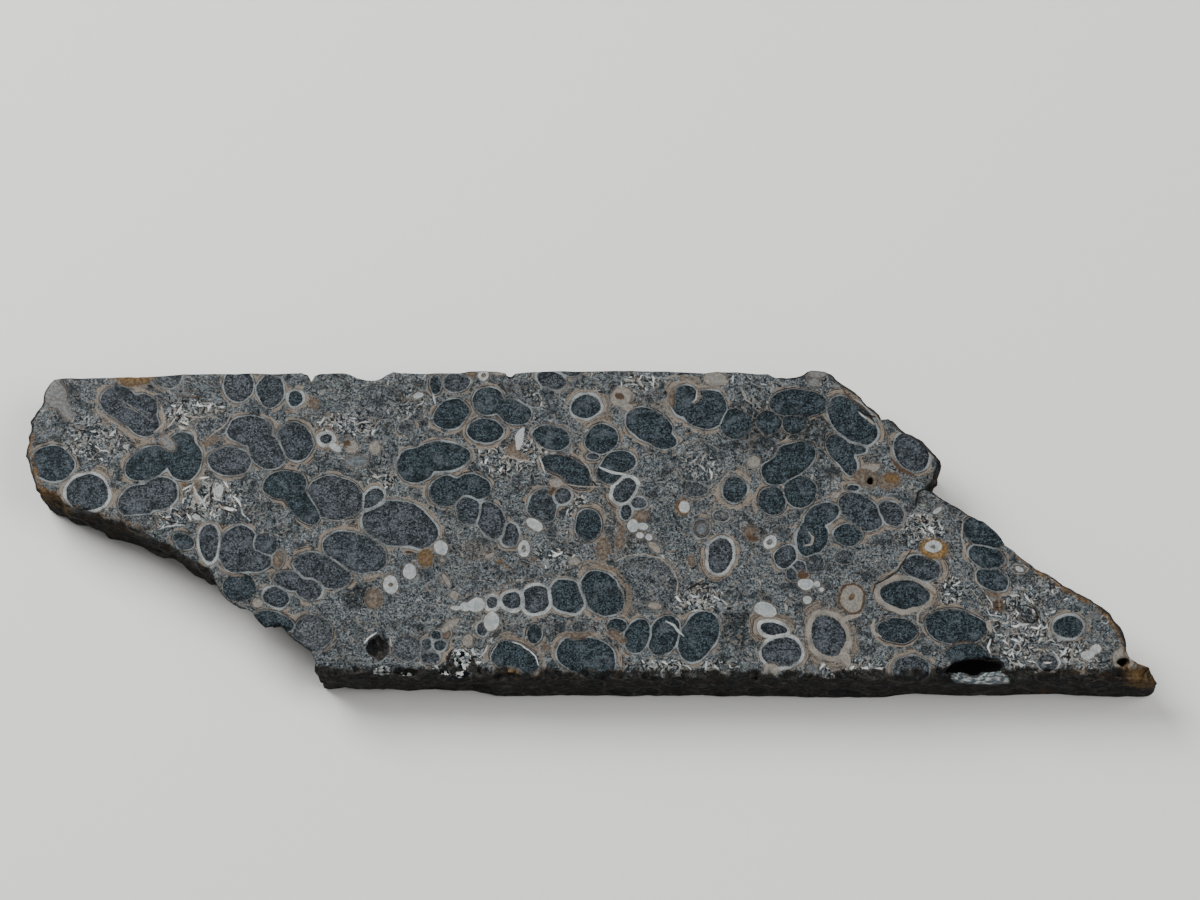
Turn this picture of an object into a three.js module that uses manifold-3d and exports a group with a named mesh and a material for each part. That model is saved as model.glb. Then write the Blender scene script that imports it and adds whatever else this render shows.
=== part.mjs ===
// A sawn slab of turritella fossil stone, lying on its lower cut face.
// One solid: two flat sawn faces, a sawn front and back wall, broken ends, and the hollows and chips of its surface.
// Millimetres. The origin is the middle of the bounding box on the lower face, +X along the slab, +Y to its back.

import * as THREE from 'three';
import { mergeVertices } from 'three/addons/utils/BufferGeometryUtils.js';
import Module from 'manifold-3d';

const THICKNESS = 10;
const WALL_STEP = 1.7;
const WALL_LEVELS = [0, 0.05, 0.22, 0.4, 0.58, 0.76, 0.92, 1];
const FOOT_BEVEL = 0.35;
const RIM_BEVEL = 0.15;
const NORMAL_REACH = 4;
const PROFILE_REACH = 2.5;
const STONE_COLOUR = 0x4b4f50;
const STONE_ROUGHNESS = 0.62;

// The wall, stretch by stretch, anticlockwise seen from above. `points` is the line of the wall in plan.
// `lean` is how far the foot stands out from that line, `rough` the height of its lumps and ledges,
// `setback` how far the edge of the upper face lies behind the line, and `shoulder` how deep the chipped rim goes.
const WALL = [
  { name: 'front, chipped left third', lean: -0.8, rough: 0.5, setback: 0.9, shoulder: 1.7, points: [
    [-42.9, -24.2], [-42.2, -25.0], [-41.0, -25.4], [-38.5, -25.2], [-36, -25.6], [-33, -25.4], [-30, -25.6],
    [-27, -25.5], [-24, -25.3], [-21, -25.6], [-18, -25.3]] },
  { name: 'front, sawn middle', lean: 0.3, rough: 0.18, setback: 0.12, shoulder: 0.3, points: [
    [-15.5, -25.2], [-13, -25.3], [-10, -25.2], [-3, -25.2], [8, -25.3], [20, -25.3], [32, -25.4], [44, -25.5]] },
  { name: 'front, chipped right third', lean: -0.2, rough: 0.25, setback: 0.9, shoulder: 1.7, points: [
    [50, -25.5], [56, -25.6], [60, -25.8], [64, -25.8], [68, -25.6], [74, -25.5], [80, -25.7], [84.5, -25.7]] },
  { name: 'pointed right end', lean: 0, rough: 0.2, setback: 0.2, shoulder: 0.6, points: [
    [87.6, -25.7], [89.4, -25.6], [90.0, -25.2], [89.4, -24.4], [88.3, -23.6]] },
  { name: 'broken right side', lean: -1.2, rough: 0.5, setback: 0.4, shoulder: 0.9, points: [
    [86.8, -22.8], [85.7, -21.9], [85.0, -20.8], [84.6, -19], [83.9, -17], [83.2, -16], [82.6, -14.8],
    [81.3, -13.7], [80.3, -13.0], [78.9, -12.0], [77.5, -11.2], [76.7, -10.5], [75.4, -10], [74.1, -9.0],
    [72.4, -8.0], [71.2, -7.0], [70.1, -6.0], [69.0, -5.0], [68.0, -4.0], [66.8, -3.0], [66.2, -2.0],
    [65.4, -1.0], [64.3, 0.0], [63.3, 0.85], [62.0, 1.4], [60.7, 2.0], [59.4, 2.8], [57.8, 4.0], [56.2, 4.9],
    [55.2, 5.6], [54.3, 6.0]] },
  { name: 'broken knob above the notch', lean: -0.6, rough: 0.5, setback: 0.8, shoulder: 1.6, points: [
    [55.1, 6.6], [55.9, 7.2], [56.1, 8.2], [56.4, 9.2], [56.8, 10.4], [56.7, 11.3], [56.0, 12.3], [55.0, 13.4],
    [53.5, 14.9], [52.4, 15.6], [51.2, 16.1], [50.2, 17.0], [49.2, 18.0], [48.5, 18.5], [47.5, 18.5],
    [47.1, 19.3], [46.3, 20.0], [45.2, 20.8], [43.9, 22.4], [42.5, 23.7], [41.2, 24.6], [40.2, 25.2]] },
  { name: 'back, sawn', lean: 0, rough: 0.2, setback: 0.12, shoulder: 0.3, points: [
    [39.4, 25.8], [38.3, 26.1], [36.3, 26.1], [35.3, 25.8], [33, 25.7], [30, 25.6], [27, 25.6], [25.3, 25.8],
    [24, 26.0], [21, 26.1], [19, 25.9], [12, 26.1], [4, 26.1], [-5, 26.2], [-10, 26.0], [-12.3, 25.7],
    [-14.5, 26.1], [-19, 26.1], [-20.5, 25.8], [-26, 25.8], [-30, 25.9], [-31.2, 26.1], [-32.3, 25.5],
    [-33, 25.0], [-34, 24.75], [-35.5, 24.8], [-37, 25.1], [-38, 25.6], [-39, 25.9], [-43, 25.8],
    [-43.8, 25.5], [-44.3, 24.5], [-44.9, 25.6], [-46, 26.0], [-50, 25.8], [-60, 25.7], [-65, 25.6],
    [-71, 25.2], [-76, 25.2], [-80, 25.0], [-84.6, 24.9]] },
  { name: 'broken left end', lean: -0.9, rough: 0.6, setback: 0.3, shoulder: 0.6, points: [
    [-85.8, 24.7], [-86.4, 24.1], [-86.9, 23], [-87.2, 22], [-87.3, 21], [-87.7, 20.2], [-88.3, 19.3],
    [-88.6, 18.5], [-89.1, 17.5], [-88.9, 16.8], [-89.0, 16], [-89.4, 15], [-89.3, 14], [-89.5, 13],
    [-89.5, 11.7], [-89.1, 11], [-89.0, 10], [-88.7, 9], [-88.4, 8], [-87.9, 7], [-87.8, 6]] },
  { name: 'broken lower left side', lean: -0.7, rough: 0.75, setback: 0.5, shoulder: 1.2, points: [
    [-87.2, 5.3], [-85.8, 4.6], [-84.3, 4.2], [-83.4, 3.2], [-82.2, 2.5], [-80.8, 2.2], [-79.4, 1.7],
    [-77.8, 1.3], [-76.8, 0.4], [-75.4, 0.2], [-73.8, -0.2], [-71.9, -1.0], [-70.4, -1.8], [-69, -2.5],
    [-67.9, -3.0], [-66.2, -3.4], [-65.1, -4.2], [-64.2, -5.1], [-63.1, -6.0], [-61.8, -6.7], [-60.4, -7.6]] },
  { name: 'undercut diagonal', lean: -4, rough: 0.6, setback: 0.15, shoulder: 0.4, points: [
    [-59.3, -8.9], [-58.5, -10.0], [-58.0, -11.2], [-57.0, -12.3], [-56.0, -13.2], [-54.8, -14.05],
    [-53.6, -14.3], [-52.7, -14.8], [-52.2, -15.5], [-51.5, -16.3], [-50.6, -17.1], [-49.6, -17.0],
    [-48.4, -16.9], [-47.7, -17.5], [-47.0, -18.4], [-46.1, -19.1], [-45.1, -19.7], [-44.4, -20.4],
    [-43.5, -21.1], [-43.2, -21.9], [-42.9, -22.8]] },
];

// Hollows and chips cut out of the stone: [x, y, z] of the middle, half sizes along X, Y and Z, and the turn in plan.
const HOLLOWS = [
  { name: 'open whorl at the front edge', at: [61.2, -23.9, 10.6], half: [4.5, 1.9, 2.9], turn: 4 },
  { name: 'chip under the open whorl', at: [62, -26.6, 9.6], half: [6, 2.3, 2.0], turn: 0 },
  { name: 'angular pit', at: [-32.8, -20.6, 10.4], half: [1.9, 2.1, 1.7], turn: 20 },
  { name: 'crystal lined chip', at: [-19.6, -24.4, 10.6], half: [3.4, 2.9, 1.7], turn: 12 },
  { name: 'worn point', at: [90.6, -25.6, 10.6], half: [3.4, 3.4, 4.6], turn: 20 },
  { name: 'brown chip', at: [-13, -26, 9.9], half: [3, 1.5, 1.5], turn: 0 },
  { name: 'long front chip', at: [-33, -26.4, 9.8], half: [6.5, 2.2, 2.0], turn: 3 },
  { name: 'back edge chip', at: [32.3, 26.4, 10.3], half: [3.4, 1.9, 2.6], turn: 0 },
  { name: 'back edge nick', at: [-12.3, 26.1, 10.2], half: [0.9, 1.4, 1.8], turn: 0 },
  { name: 'open whorl core', at: [84.3, -22.8, 10.2], half: [1.1, 0.8, 1.2], turn: 0 },
  { name: 'round hole', at: [45.3, 7.35, 10.2], half: [0.65, 0.65, 1.4], turn: 0 },
];
const HOLLOW_DETAIL = 2;
const HOLLOW_ROUGHNESS = 0.16;

// Value noise with a fixed pattern: the same stone every time.
function cellValue(x, y, z) {
  const s = Math.sin(x * 127.1 + y * 311.7 + z * 74.7) * 43758.5453;
  return s - Math.floor(s);
}

function noise(x, y, z) {
  const [cx, cy, cz] = [Math.floor(x), Math.floor(y), Math.floor(z)];
  const ease = (t) => t * t * (3 - 2 * t);
  const [u, v, w] = [ease(x - cx), ease(y - cy), ease(z - cz)];
  let sum = 0;
  for (const dx of [0, 1]) {
    for (const dy of [0, 1]) {
      for (const dz of [0, 1]) {
        const weight = (dx ? u : 1 - u) * (dy ? v : 1 - v) * (dz ? w : 1 - w);
        sum += weight * cellValue(cx + dx, cy + dy, cz + dz);
      }
    }
  }
  return 2 * sum - 1;
}

// Lumps of two sizes, and ledges that follow the bedding of the stone.
function wallRelief(x, y, z) {
  const lumps = noise(x / 4.5, y / 4.5, z / 3) + 0.5 * noise(x / 1.9, y / 1.9, z / 1.6);
  const bed = noise(x / 14, y / 14, z / 1.3);
  return 0.6 * lumps + 0.55 * Math.sign(bed) * Math.sqrt(Math.abs(bed));
}

// The wall line as columns no further apart than WALL_STEP, each with the profile of its stretch.
function wallColumns() {
  const stations = WALL.flatMap((stretch) => stretch.points.map(([x, y]) => ({ ...stretch, x, y })));
  const columns = [];
  stations.forEach((here, i) => {
    const next = stations[(i + 1) % stations.length];
    const pieces = Math.ceil(Math.hypot(next.x - here.x, next.y - here.y) / WALL_STEP);
    for (let k = 0; k < pieces; k++) {
      const t = k / pieces;
      columns.push({ ...here, x: here.x + t * (next.x - here.x), y: here.y + t * (next.y - here.y) });
    }
  });
  return columns;
}

// Averages a value of the columns over their neighbours within `reach` millimetres along the wall.
function smoothed(columns, value, reach) {
  const span = Math.max(1, Math.round(reach / WALL_STEP));
  return columns.map((_, i) => {
    let sum = 0;
    for (let k = -span; k <= span; k++) sum += value(columns.at((i + k) % columns.length));
    return sum / (2 * span + 1);
  });
}

function wallNormals(columns) {
  const xs = smoothed(columns, (c) => c.x, NORMAL_REACH);
  const ys = smoothed(columns, (c) => c.y, NORMAL_REACH);
  return columns.map((_, i) => {
    const after = (i + 1) % columns.length;
    const before = (i + columns.length - 1) % columns.length;
    return new THREE.Vector2(ys[after] - ys[before], xs[before] - xs[after]).normalize();
  });
}

// One point of the wall: `level` runs from 0 at the foot to 1 at the upper face.
function wallPoint(column, level) {
  const { x, y, normal, lean, rough, setback, shoulder } = column;
  const top = THICKNESS - shoulder;
  const isRim = level === 1;
  const z = isRim ? THICKNESS : level * top / WALL_LEVELS.at(-2);
  let out = lean * (1 - z / THICKNESS) + rough * wallRelief(x, y, z);
  if (level === 0) out -= FOOT_BEVEL;
  if (isRim) out = -setback - RIM_BEVEL + 0.5 * rough * noise(x / 1.7, y / 1.7, 3.3);
  return new THREE.Vector3(x + out * normal.x, y + out * normal.y, z);
}

function sawnBlank() {
  const columns = wallColumns();
  const normals = wallNormals(columns);
  const profile = Object.fromEntries(['lean', 'rough', 'setback', 'shoulder'].map(
    (key) => [key, smoothed(columns, (c) => c[key], PROFILE_REACH)]));
  columns.forEach((column, i) => {
    column.normal = normals[i];
    for (const key of Object.keys(profile)) column[key] = profile[key][i];
  });

  const rings = WALL_LEVELS.map((level) => columns.map((column) => wallPoint(column, level)));
  const count = columns.length;
  const index = [];
  for (let row = 0; row + 1 < rings.length; row++) {
    for (let i = 0; i < count; i++) {
      const j = (i + 1) % count;
      const [a, b, c, d] = [row * count + i, row * count + j, (row + 1) * count + j, (row + 1) * count + i];
      index.push(a, b, c, a, c, d);
    }
  }
  const flat = (ring) => ring.map((p) => new THREE.Vector2(p.x, p.y));
  const topStart = (rings.length - 1) * count;
  for (const [a, b, c] of THREE.ShapeUtils.triangulateShape(flat(rings[0]), [])) index.push(a, c, b);
  for (const [a, b, c] of THREE.ShapeUtils.triangulateShape(flat(rings.at(-1)), [])) {
    index.push(topStart + a, topStart + b, topStart + c);
  }
  const geometry = new THREE.BufferGeometry().setFromPoints(rings.flat());
  geometry.setIndex(index);
  return geometry;
}

// A rough pebble shape to cut away, as a hollow is.
function hollowShape({ at, half, turn }) {
  const geometry = new THREE.IcosahedronGeometry(1, HOLLOW_DETAIL);
  geometry.deleteAttribute('normal');
  geometry.deleteAttribute('uv');
  const place = geometry.getAttribute('position');
  const p = new THREE.Vector3();
  for (let i = 0; i < place.count; i++) {
    p.fromBufferAttribute(place, i);
    p.multiplyScalar(1 + HOLLOW_ROUGHNESS * noise(2 * p.x + at[0], 2 * p.y + at[1], 2 * p.z));
    place.setXYZ(i, p.x, p.y, p.z);
  }
  geometry.scale(...half);
  geometry.rotateZ(THREE.MathUtils.degToRad(turn));
  geometry.translate(...at);
  return mergeVertices(geometry, 1e-5);
}

const wasm = await Module();
wasm.setup();

function toSolid(geometry) {
  return new wasm.Manifold(new wasm.Mesh({
    numProp: 3,
    vertProperties: new Float32Array(geometry.getAttribute('position').array),
    triVerts: new Uint32Array(geometry.index.array),
  }));
}

function toGeometry(solid) {
  const { vertProperties, triVerts } = solid.getMesh();
  const geometry = new THREE.BufferGeometry();
  geometry.setAttribute('position', new THREE.BufferAttribute(vertProperties, 3));
  geometry.setIndex(new THREE.BufferAttribute(triVerts, 1));
  return geometry;
}

function fossilSlab() {
  const cut = HOLLOWS.reduce((solid, hollow) => solid.subtract(toSolid(hollowShape(hollow))), toSolid(sawnBlank()));
  const geometry = toGeometry(cut);
  geometry.computeBoundingBox();
  const middle = geometry.boundingBox.getCenter(new THREE.Vector3());
  geometry.translate(-middle.x, -middle.y, -geometry.boundingBox.min.z);
  const stone = new THREE.MeshStandardMaterial({ color: STONE_COLOUR, roughness: STONE_ROUGHNESS, metalness: 0 });
  const slab = new THREE.Mesh(geometry, stone);
  slab.name = 'fossil_slab';
  return slab;
}

const part = new THREE.Group();
part.add(fossilSlab());
export default part;
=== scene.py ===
"""A sawn slab of turritella fossil stone, laid out as a Blender add-on and run as a script."""

import math
from collections import namedtuple
from functools import reduce
from types import SimpleNamespace

import bmesh
import bpy
import numpy as np
from mathutils.kdtree import KDTree
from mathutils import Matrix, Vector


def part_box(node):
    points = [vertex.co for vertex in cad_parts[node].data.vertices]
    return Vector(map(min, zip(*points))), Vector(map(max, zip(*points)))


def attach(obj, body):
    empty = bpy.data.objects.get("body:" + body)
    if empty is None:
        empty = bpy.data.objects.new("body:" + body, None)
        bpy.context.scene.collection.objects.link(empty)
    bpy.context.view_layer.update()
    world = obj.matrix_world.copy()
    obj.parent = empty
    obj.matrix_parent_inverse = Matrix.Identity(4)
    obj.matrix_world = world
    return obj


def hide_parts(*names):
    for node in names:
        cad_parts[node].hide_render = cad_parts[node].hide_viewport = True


bl_info = {
    "name": "Turritella fossil slab",
    "version": (1, 0, 0),
    "blender": (4, 5, 0),
    "location": "View3D > Sidebar > Fossil Slab",
    "description": "Dresses a sawn fossil slab: cut snail shells, speckled stone and broken sides",
    "category": "Object",
}

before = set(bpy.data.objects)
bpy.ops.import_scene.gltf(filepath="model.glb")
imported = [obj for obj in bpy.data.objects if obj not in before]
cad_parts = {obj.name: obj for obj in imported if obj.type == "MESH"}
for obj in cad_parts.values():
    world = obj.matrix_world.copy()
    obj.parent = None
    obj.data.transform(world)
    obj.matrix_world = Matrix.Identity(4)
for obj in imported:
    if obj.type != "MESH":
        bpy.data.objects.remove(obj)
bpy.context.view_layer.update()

MM = 0.001
THICKNESS = 10.0
NODE = "fossil_slab"

# Where the saw met the shells. All lengths are in millimetres on the upper face: the middle of a chamber as
# x and y, its half length and half width, its turn in degrees, and the width of its pale rim and of the tan
# shell wall outside the rim. A chamber with joined=True opens into the one before it, whose looks it takes.
Chamber = namedtuple("Chamber", "fill x y long wide turn rim wall joined", defaults=(0, 0.3, 0.35, False))

CHAMBERS = [
    # The left end
    Chamber("grey", -75.4, 20.6, 2.9, 2.7, -35, rim=0.25, wall=1.1),
    Chamber("grey", -73.5, 19.0, 2.7, 2.4, -40, joined=True),
    Chamber("grey", -71.6, 17.4, 3.3, 2.3, -45, joined=True),
    Chamber("grey", -71.1, 19.7, 2.4, 1.9, -50, joined=True),
    Chamber("dark", -85.5, 10.1, 3.5, 3.0, -15),
    Chamber("grey", -79.7, 5.1, 3.3, 3.0, 0, rim=0.6, wall=0.9),
    Chamber("grey", -71.6, 3.6, 3.2, 2.7, 15),
    Chamber("grey", -68.2, 5.0, 3.0, 2.8, 40, joined=True),
    Chamber("dark", -70.3, 10.1, 3.9, 2.6, 25, wall=0.5),
    Chamber("dark", -64.6, 11.3, 4.2, 2.9, 100, joined=True),
    Chamber("faint", -67.6, 25.2, 2.2, 2.2, 0, wall=0.5),
    Chamber("faint", -71.5, 0.2, 3.0, 1.5, 0, rim=0.15),
    Chamber("dark", -64.1, -3.0, 1.8, 1.3, -30, rim=0.2),
    Chamber("grey", -60.0, -3.3, 3.1, 1.55, 95, rim=0.55),
    Chamber("grey", -55.2, -4.35, 4.0, 3.2, 90, wall=0.5),
    Chamber("grey", -52.5, -6.1, 2.6, 2.2, 0, joined=True),
    Chamber("grey", -51.5, -3.8, 2.6, 1.9, 0, rim=0.12, wall=0.3),
    Chamber("grey", -49.0, -6.0, 1.45, 1.0, 70, rim=0.35),
    Chamber("grey", -36.8, -4.9, 5.3, 3.1, -20, wall=0.8),
    Chamber("grey", -41.9, -7.9, 4.9, 2.6, -22, wall=0.6),
    Chamber("grey", -47.1, -9.65, 2.6, 1.7, -15, rim=0.35, wall=0.6),
    Chamber("grey", -43.9, -10.9, 2.1, 1.9, 0, joined=True),
    Chamber("grey", -49.15, -12.4, 2.2, 1.5, -25, rim=0.45),
    Chamber("dark", -55.0, -10.7, 2.6, 2.3, 0, rim=0.04, wall=0.1),
    Chamber("dark", -49.45, -16.4, 3.2, 1.6, -15, rim=0.2),
    Chamber("faint", -43.2, -18.3, 3.1, 2.9, 0, rim=0.15, wall=0.5),
    Chamber("grey", -56.3, 23.6, 3.0, 2.4, 100),
    Chamber("grey", -51.1, 22.5, 2.8, 2.2, 100),
    Chamber("dark", -47.1, 21.1, 1.35, 1.15, 90, rim=0.5, wall=0.7),
    Chamber("grey", -54.25, 15.7, 3.7, 2.5, 0),
    Chamber("grey", -51.3, 12.0, 3.3, 2.7, -50, joined=True),
    Chamber("grey", -46.9, 13.8, 3.3, 2.8, -60, wall=0.5),
    Chamber("grey", -57.3, 10.45, 3.4, 2.35, -8, wall=0.45),
    Chamber("grey", -41.9, 14.2, 1.0, 0.85, 0, rim=0.8, wall=0.6),
    Chamber("dark", -48.3, 6.45, 3.4, 2.3, 10, rim=0.2),
    Chamber("dark", -45.3, 2.9, 3.6, 2.0, -50, joined=True),
    Chamber("grey", -40.3, 4.35, 4.6, 3.6, -20, rim=0.22, wall=0.3),
    Chamber("grey", -34.1, 3.8, 2.05, 1.7, 60, rim=0.5),
    Chamber("faint", -60.0, 16.45, 2.9, 1.9, 20, rim=0.25, wall=0.9),
    Chamber("faint", -33.4, 20.6, 3.1, 2.9, 0, rim=0.2),
    # Left of the middle
    Chamber("dark", -22.0, 18.5, 3.0, 2.4, 30),
    Chamber("dark", -15.9, 20.7, 2.6, 2.5, 0),
    Chamber("dark", -11.9, 18.9, 2.9, 2.1, -25, joined=True),
    Chamber("dark", -16.4, 15.55, 2.8, 2.0, 0, wall=0.6),
    Chamber("dark", -27.5, 9.75, 3.0, 3.0, 0, rim=0.35),
    Chamber("dark", -23.4, 11.2, 4.6, 2.5, 0, joined=True),
    Chamber("dark", -22.5, 5.4, 2.9, 2.6, 0),
    Chamber("dark", -18.2, 6.25, 2.9, 2.1, -20, joined=True),
    Chamber("grey", -19.0, 2.1, 2.5, 2.0, 110),
    Chamber("grey", -15.3, 0.5, 3.3, 2.1, 110, rim=0.35),
    Chamber("grey", -12.4, -2.0, 2.0, 1.4, 90, rim=0.4),
    Chamber("grey", -7.1, 2.95, 2.9, 2.3, 90, rim=0.35, wall=0.6),
    Chamber("grey", -4.1, 4.5, 1.5, 1.3, 30, rim=0.4),
    Chamber("dark", -5.8, 14.5, 3.1, 2.1, -15),
    Chamber("dark", -4.5, 10.0, 2.9, 1.6, -12, rim=0.1, wall=0.5),
    Chamber("dark", -2.0, 8.3, 3.1, 1.9, -42, joined=True),
    Chamber("grey", -5.85, 24.4, 2.4, 1.5, -20, rim=0.4),
    Chamber("grey", -6.7, 21.9, 1.3, 1.3, 0, rim=0.2),
    Chamber("faint", -9.9, 22.1, 3.2, 1.7, -42),
    Chamber("grey", -2.6, 26.6, 1.9, 1.5, 0, rim=0.35),
    Chamber("dark", -24.5, 23.5, 1.6, 0.9, 90, rim=0.25),
    Chamber("grey", -21.2, 23.9, 2.1, 1.7, 0),
    Chamber("faint", -29.1, 16.3, 1.25, 1.25, 0, rim=0.25),
    Chamber("faint", -28.3, 19.0, 1.6, 1.6, 0, rim=0.15),
    Chamber("grey", -30.4, 0.0, 5.6, 3.8, -12, rim=0.4, wall=0.5),
    Chamber("grey", -27.0, -1.4, 3.4, 2.6, -25, joined=True),
    Chamber("dark", 0.1, -0.4, 2.7, 2.0, 90, rim=0.25, wall=0.6),
    # The long shell cut along its length, from its point to its mouth
    Chamber("grey", -15.0, -13.3, 1.05, 0.9, 80, rim=0.75),
    Chamber("grey", -11.8, -13.0, 1.6, 1.4, 0, rim=0.75),
    Chamber("grey", -8.1, -12.7, 2.3, 2.15, 60, rim=0.6),
    Chamber("dark", -3.2, -12.2, 3.0, 2.7, -45, rim=0.48),
    Chamber("dark", 2.3, -11.8, 4.1, 3.1, -52, rim=0.35, wall=1.1),
    Chamber("faint", 9.5, -10.2, 4.9, 4.3, -40, rim=0.2, wall=0.5),
    # Along the front edge
    Chamber("dark", 4.6, -17.3, 1.6, 1.3, 0, rim=0.25),
    Chamber("dark", 7.9, -18.8, 2.9, 1.9, 75),
    Chamber("dark", 12.1, -18.7, 3.5, 2.3, 70),
    Chamber("dark", 17.5, -18.9, 4.3, 2.9, 62, rim=0.35),
    Chamber("dark", -0.3, -22.0, 4.7, 3.1, -12, rim=0.35, wall=0.6),
    Chamber("dark", 1.5, -23.4, 2.9, 2.8, 0, joined=True),
    Chamber("faint", -1.1, -17.2, 1.4, 0.9, 0, rim=0.25),
    Chamber("dark", -11.4, -22.5, 4.1, 2.6, -20, rim=0.14, wall=0.8),
    Chamber("dark", -8.3, -18.4, 1.6, 1.3, 90, rim=0.2),
    Chamber("grey", -16.6, -17.7, 1.05, 0.9, 80, rim=0.42),
    Chamber("dark", -23.8, -18.7, 0.75, 0.75, 0, rim=0.25),
    Chamber("grey", -22.3, -18.5, 0.8, 0.8, 0, rim=0.25),
    Chamber("grey", -25.3, -20.2, 1.0, 0.95, 0, rim=0.4),
    Chamber("dark", -23.1, -20.3, 0.9, 0.9, 0, rim=0.38),
    Chamber("grey", -24.6, -22.4, 1.5, 1.0, 0, rim=0.35),
    Chamber("faint", -28.4, -20.8, 2.3, 2.0, 0, rim=0.2),
    # The middle
    Chamber("dark", -0.3, 19.8, 2.4, 2.1, 20, rim=0.5, wall=0.9),
    Chamber("dark", 2.25, 14.3, 2.7, 2.4, 25, rim=0.25, wall=0.7),
    Chamber("grey", 0.8, 11.3, 0.9, 0.6, 0, rim=0.25),
    Chamber("dark", 4.9, 10.2, 2.7, 2.0, 10, rim=0.3, wall=0.5),
    Chamber("dark", 3.4, 8.3, 2.1, 1.7, -20, joined=True),
    Chamber("grey", 5.8, 5.5, 2.3, 1.5, 50, rim=0.75, wall=0.5),
    Chamber("grey", 8.2, 3.4, 1.3, 0.9, 0, rim=0.35),
    Chamber("grey", 6.2, 1.9, 1.3, 0.9, 90, rim=0.35),
    Chamber("dark", 9.85, 16.6, 4.0, 2.7, -25, wall=0.5),
    Chamber("dark", 12.2, 13.8, 2.0, 1.4, 0, joined=True),
    Chamber("dark", 15.5, 20.8, 2.7, 2.2, 80, rim=0.32, wall=0.9),
    Chamber("dark", 18.9, 19.3, 3.5, 3.4, 0, joined=True),
    Chamber("dark", 23.8, 16.9, 2.6, 2.6, 0, rim=0.06, wall=0.1),
    Chamber("faint", 28.3, 12.2, 2.4, 2.1, 90, rim=0.25),
    Chamber("faint", 18.2, 9.9, 3.7, 3.6, 0, rim=0.2, wall=0.5),
    Chamber("faint", 17.4, 5.9, 1.8, 1.5, 0, rim=0.15),
    Chamber("dark", 23.4, 5.6, 2.4, 1.95, 90, rim=0.36, wall=1.1),
    Chamber("faint", 21.2, 1.3, 1.3, 1.0, 0, rim=0.25),
    Chamber("grey", 18.0, -1.0, 1.6, 1.35, 80, rim=0.42, wall=0.5),
    Chamber("grey", 21.0, -5.4, 2.95, 2.0, 80, rim=0.6, wall=0.6),
    Chamber("grey", 29.3, -17.6, 2.1, 0.95, -8, rim=0.7, wall=0.7),
    Chamber("grey", 30.6, -21.5, 3.2, 2.5, 0, rim=0.6),
    # The right end
    Chamber("dark", 33.9, 20.3, 4.7, 2.4, 0, rim=0.15, wall=0.3),
    Chamber("dark", 29.0, 17.0, 2.0, 2.0, 0, rim=0.06, wall=0.1),
    Chamber("dark", 33.1, 16.9, 2.0, 1.9, 0, rim=0.06, wall=0.1),
    Chamber("dark", 32.0, 10.2, 4.8, 2.8, 35, rim=0.2, wall=0.35),
    Chamber("dark", 33.8, 5.3, 2.7, 2.6, -60, rim=0.2, wall=0.3),
    Chamber("dark", 29.4, 3.8, 2.4, 2.2, 90, rim=0.15, wall=0.6),
    Chamber("dark", 42.4, 17.3, 5.0, 3.1, -52, rim=0.38, wall=0.6),
    Chamber("dark", 40.3, 12.6, 2.6, 1.9, -65, rim=0.33, wall=0.5),
    Chamber("dark", 41.6, 10.2, 2.2, 1.3, -65, joined=True),
    Chamber("dark", 42.8, 12.5, 1.8, 0.9, -12, joined=True),
    Chamber("grey", 51.8, 11.95, 3.5, 2.6, -65, rim=0.38, wall=0.5),
    Chamber("dark", 42.3, 5.8, 1.1, 0.5, 0, rim=0.3),
    Chamber("dark", 35.6, -2.4, 3.2, 2.4, 70, rim=0.35, wall=0.7),
    Chamber("dark", 37.3, 1.5, 2.9, 1.8, 25, joined=True),
    Chamber("grey", 43.5, 1.9, 3.9, 2.6, -40, rim=0.28, wall=0.4),
    Chamber("dark", 41.3, -2.0, 2.3, 1.8, 0, rim=0.33, wall=0.6),
    Chamber("grey", 48.2, 1.6, 2.35, 1.75, -45, rim=0.38),
    Chamber("grey", 31.4, -5.6, 2.0, 1.6, 70, rim=0.3, wall=0.45),
    Chamber("grey", 33.6, -7.4, 1.25, 1.1, 0, rim=0.28, wall=0.4),
    Chamber("grey", 32.3, -8.6, 1.1, 0.9, 90, rim=0.28),
    Chamber("grey", 37.9, -18.8, 3.5, 2.55, 108, rim=1.1, wall=0.9),
    Chamber("dark", 50.2, -11.95, 3.9, 2.3, -3, rim=1.1, wall=0.5),
    Chamber("grey", 52.9, -7.55, 3.1, 2.0, -12, rim=0.3, wall=0.6),
    Chamber("dark", 48.8, -17.9, 3.1, 2.0, 0, rim=0.1, wall=0.4),
    Chamber("dark", 58.0, -17.3, 4.9, 2.8, -8, rim=0.22, wall=0.6),
    Chamber("dark", 59.7, -21.9, 3.6, 2.2, -6, rim=0.05, wall=0.1),
    Chamber("grey", 50.8, -24.4, 3.0, 2.4, 0, rim=0.35, wall=0.7),
    Chamber("faint", 40.8, -5.8, 1.6, 1.2, 0, rim=0.1, wall=0.1),
    Chamber("faint", 36.0, -6.8, 1.5, 1.5, 0, rim=0.15),
    Chamber("dark", 62.8, -1.8, 3.6, 2.3, -35, rim=0.12, wall=0.4),
    Chamber("dark", 63.2, -5.6, 2.9, 2.0, -20, rim=0.28, wall=0.4),
    Chamber("dark", 63.95, -9.45, 2.7, 1.8, -25, rim=0.28, wall=0.4),
    Chamber("dark", 75.7, -17.3, 2.35, 1.8, 5, rim=0.5, wall=0.5),
    Chamber("faint", 81.4, -16.0, 0.8, 0.55, 90, rim=0.3),
    Chamber("faint", 69.7, -15.2, 1.6, 1.4, 0, rim=0.25),
    Chamber("faint", 72.3, -23.1, 1.6, 1.4, 0, rim=0.25),
]

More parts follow.
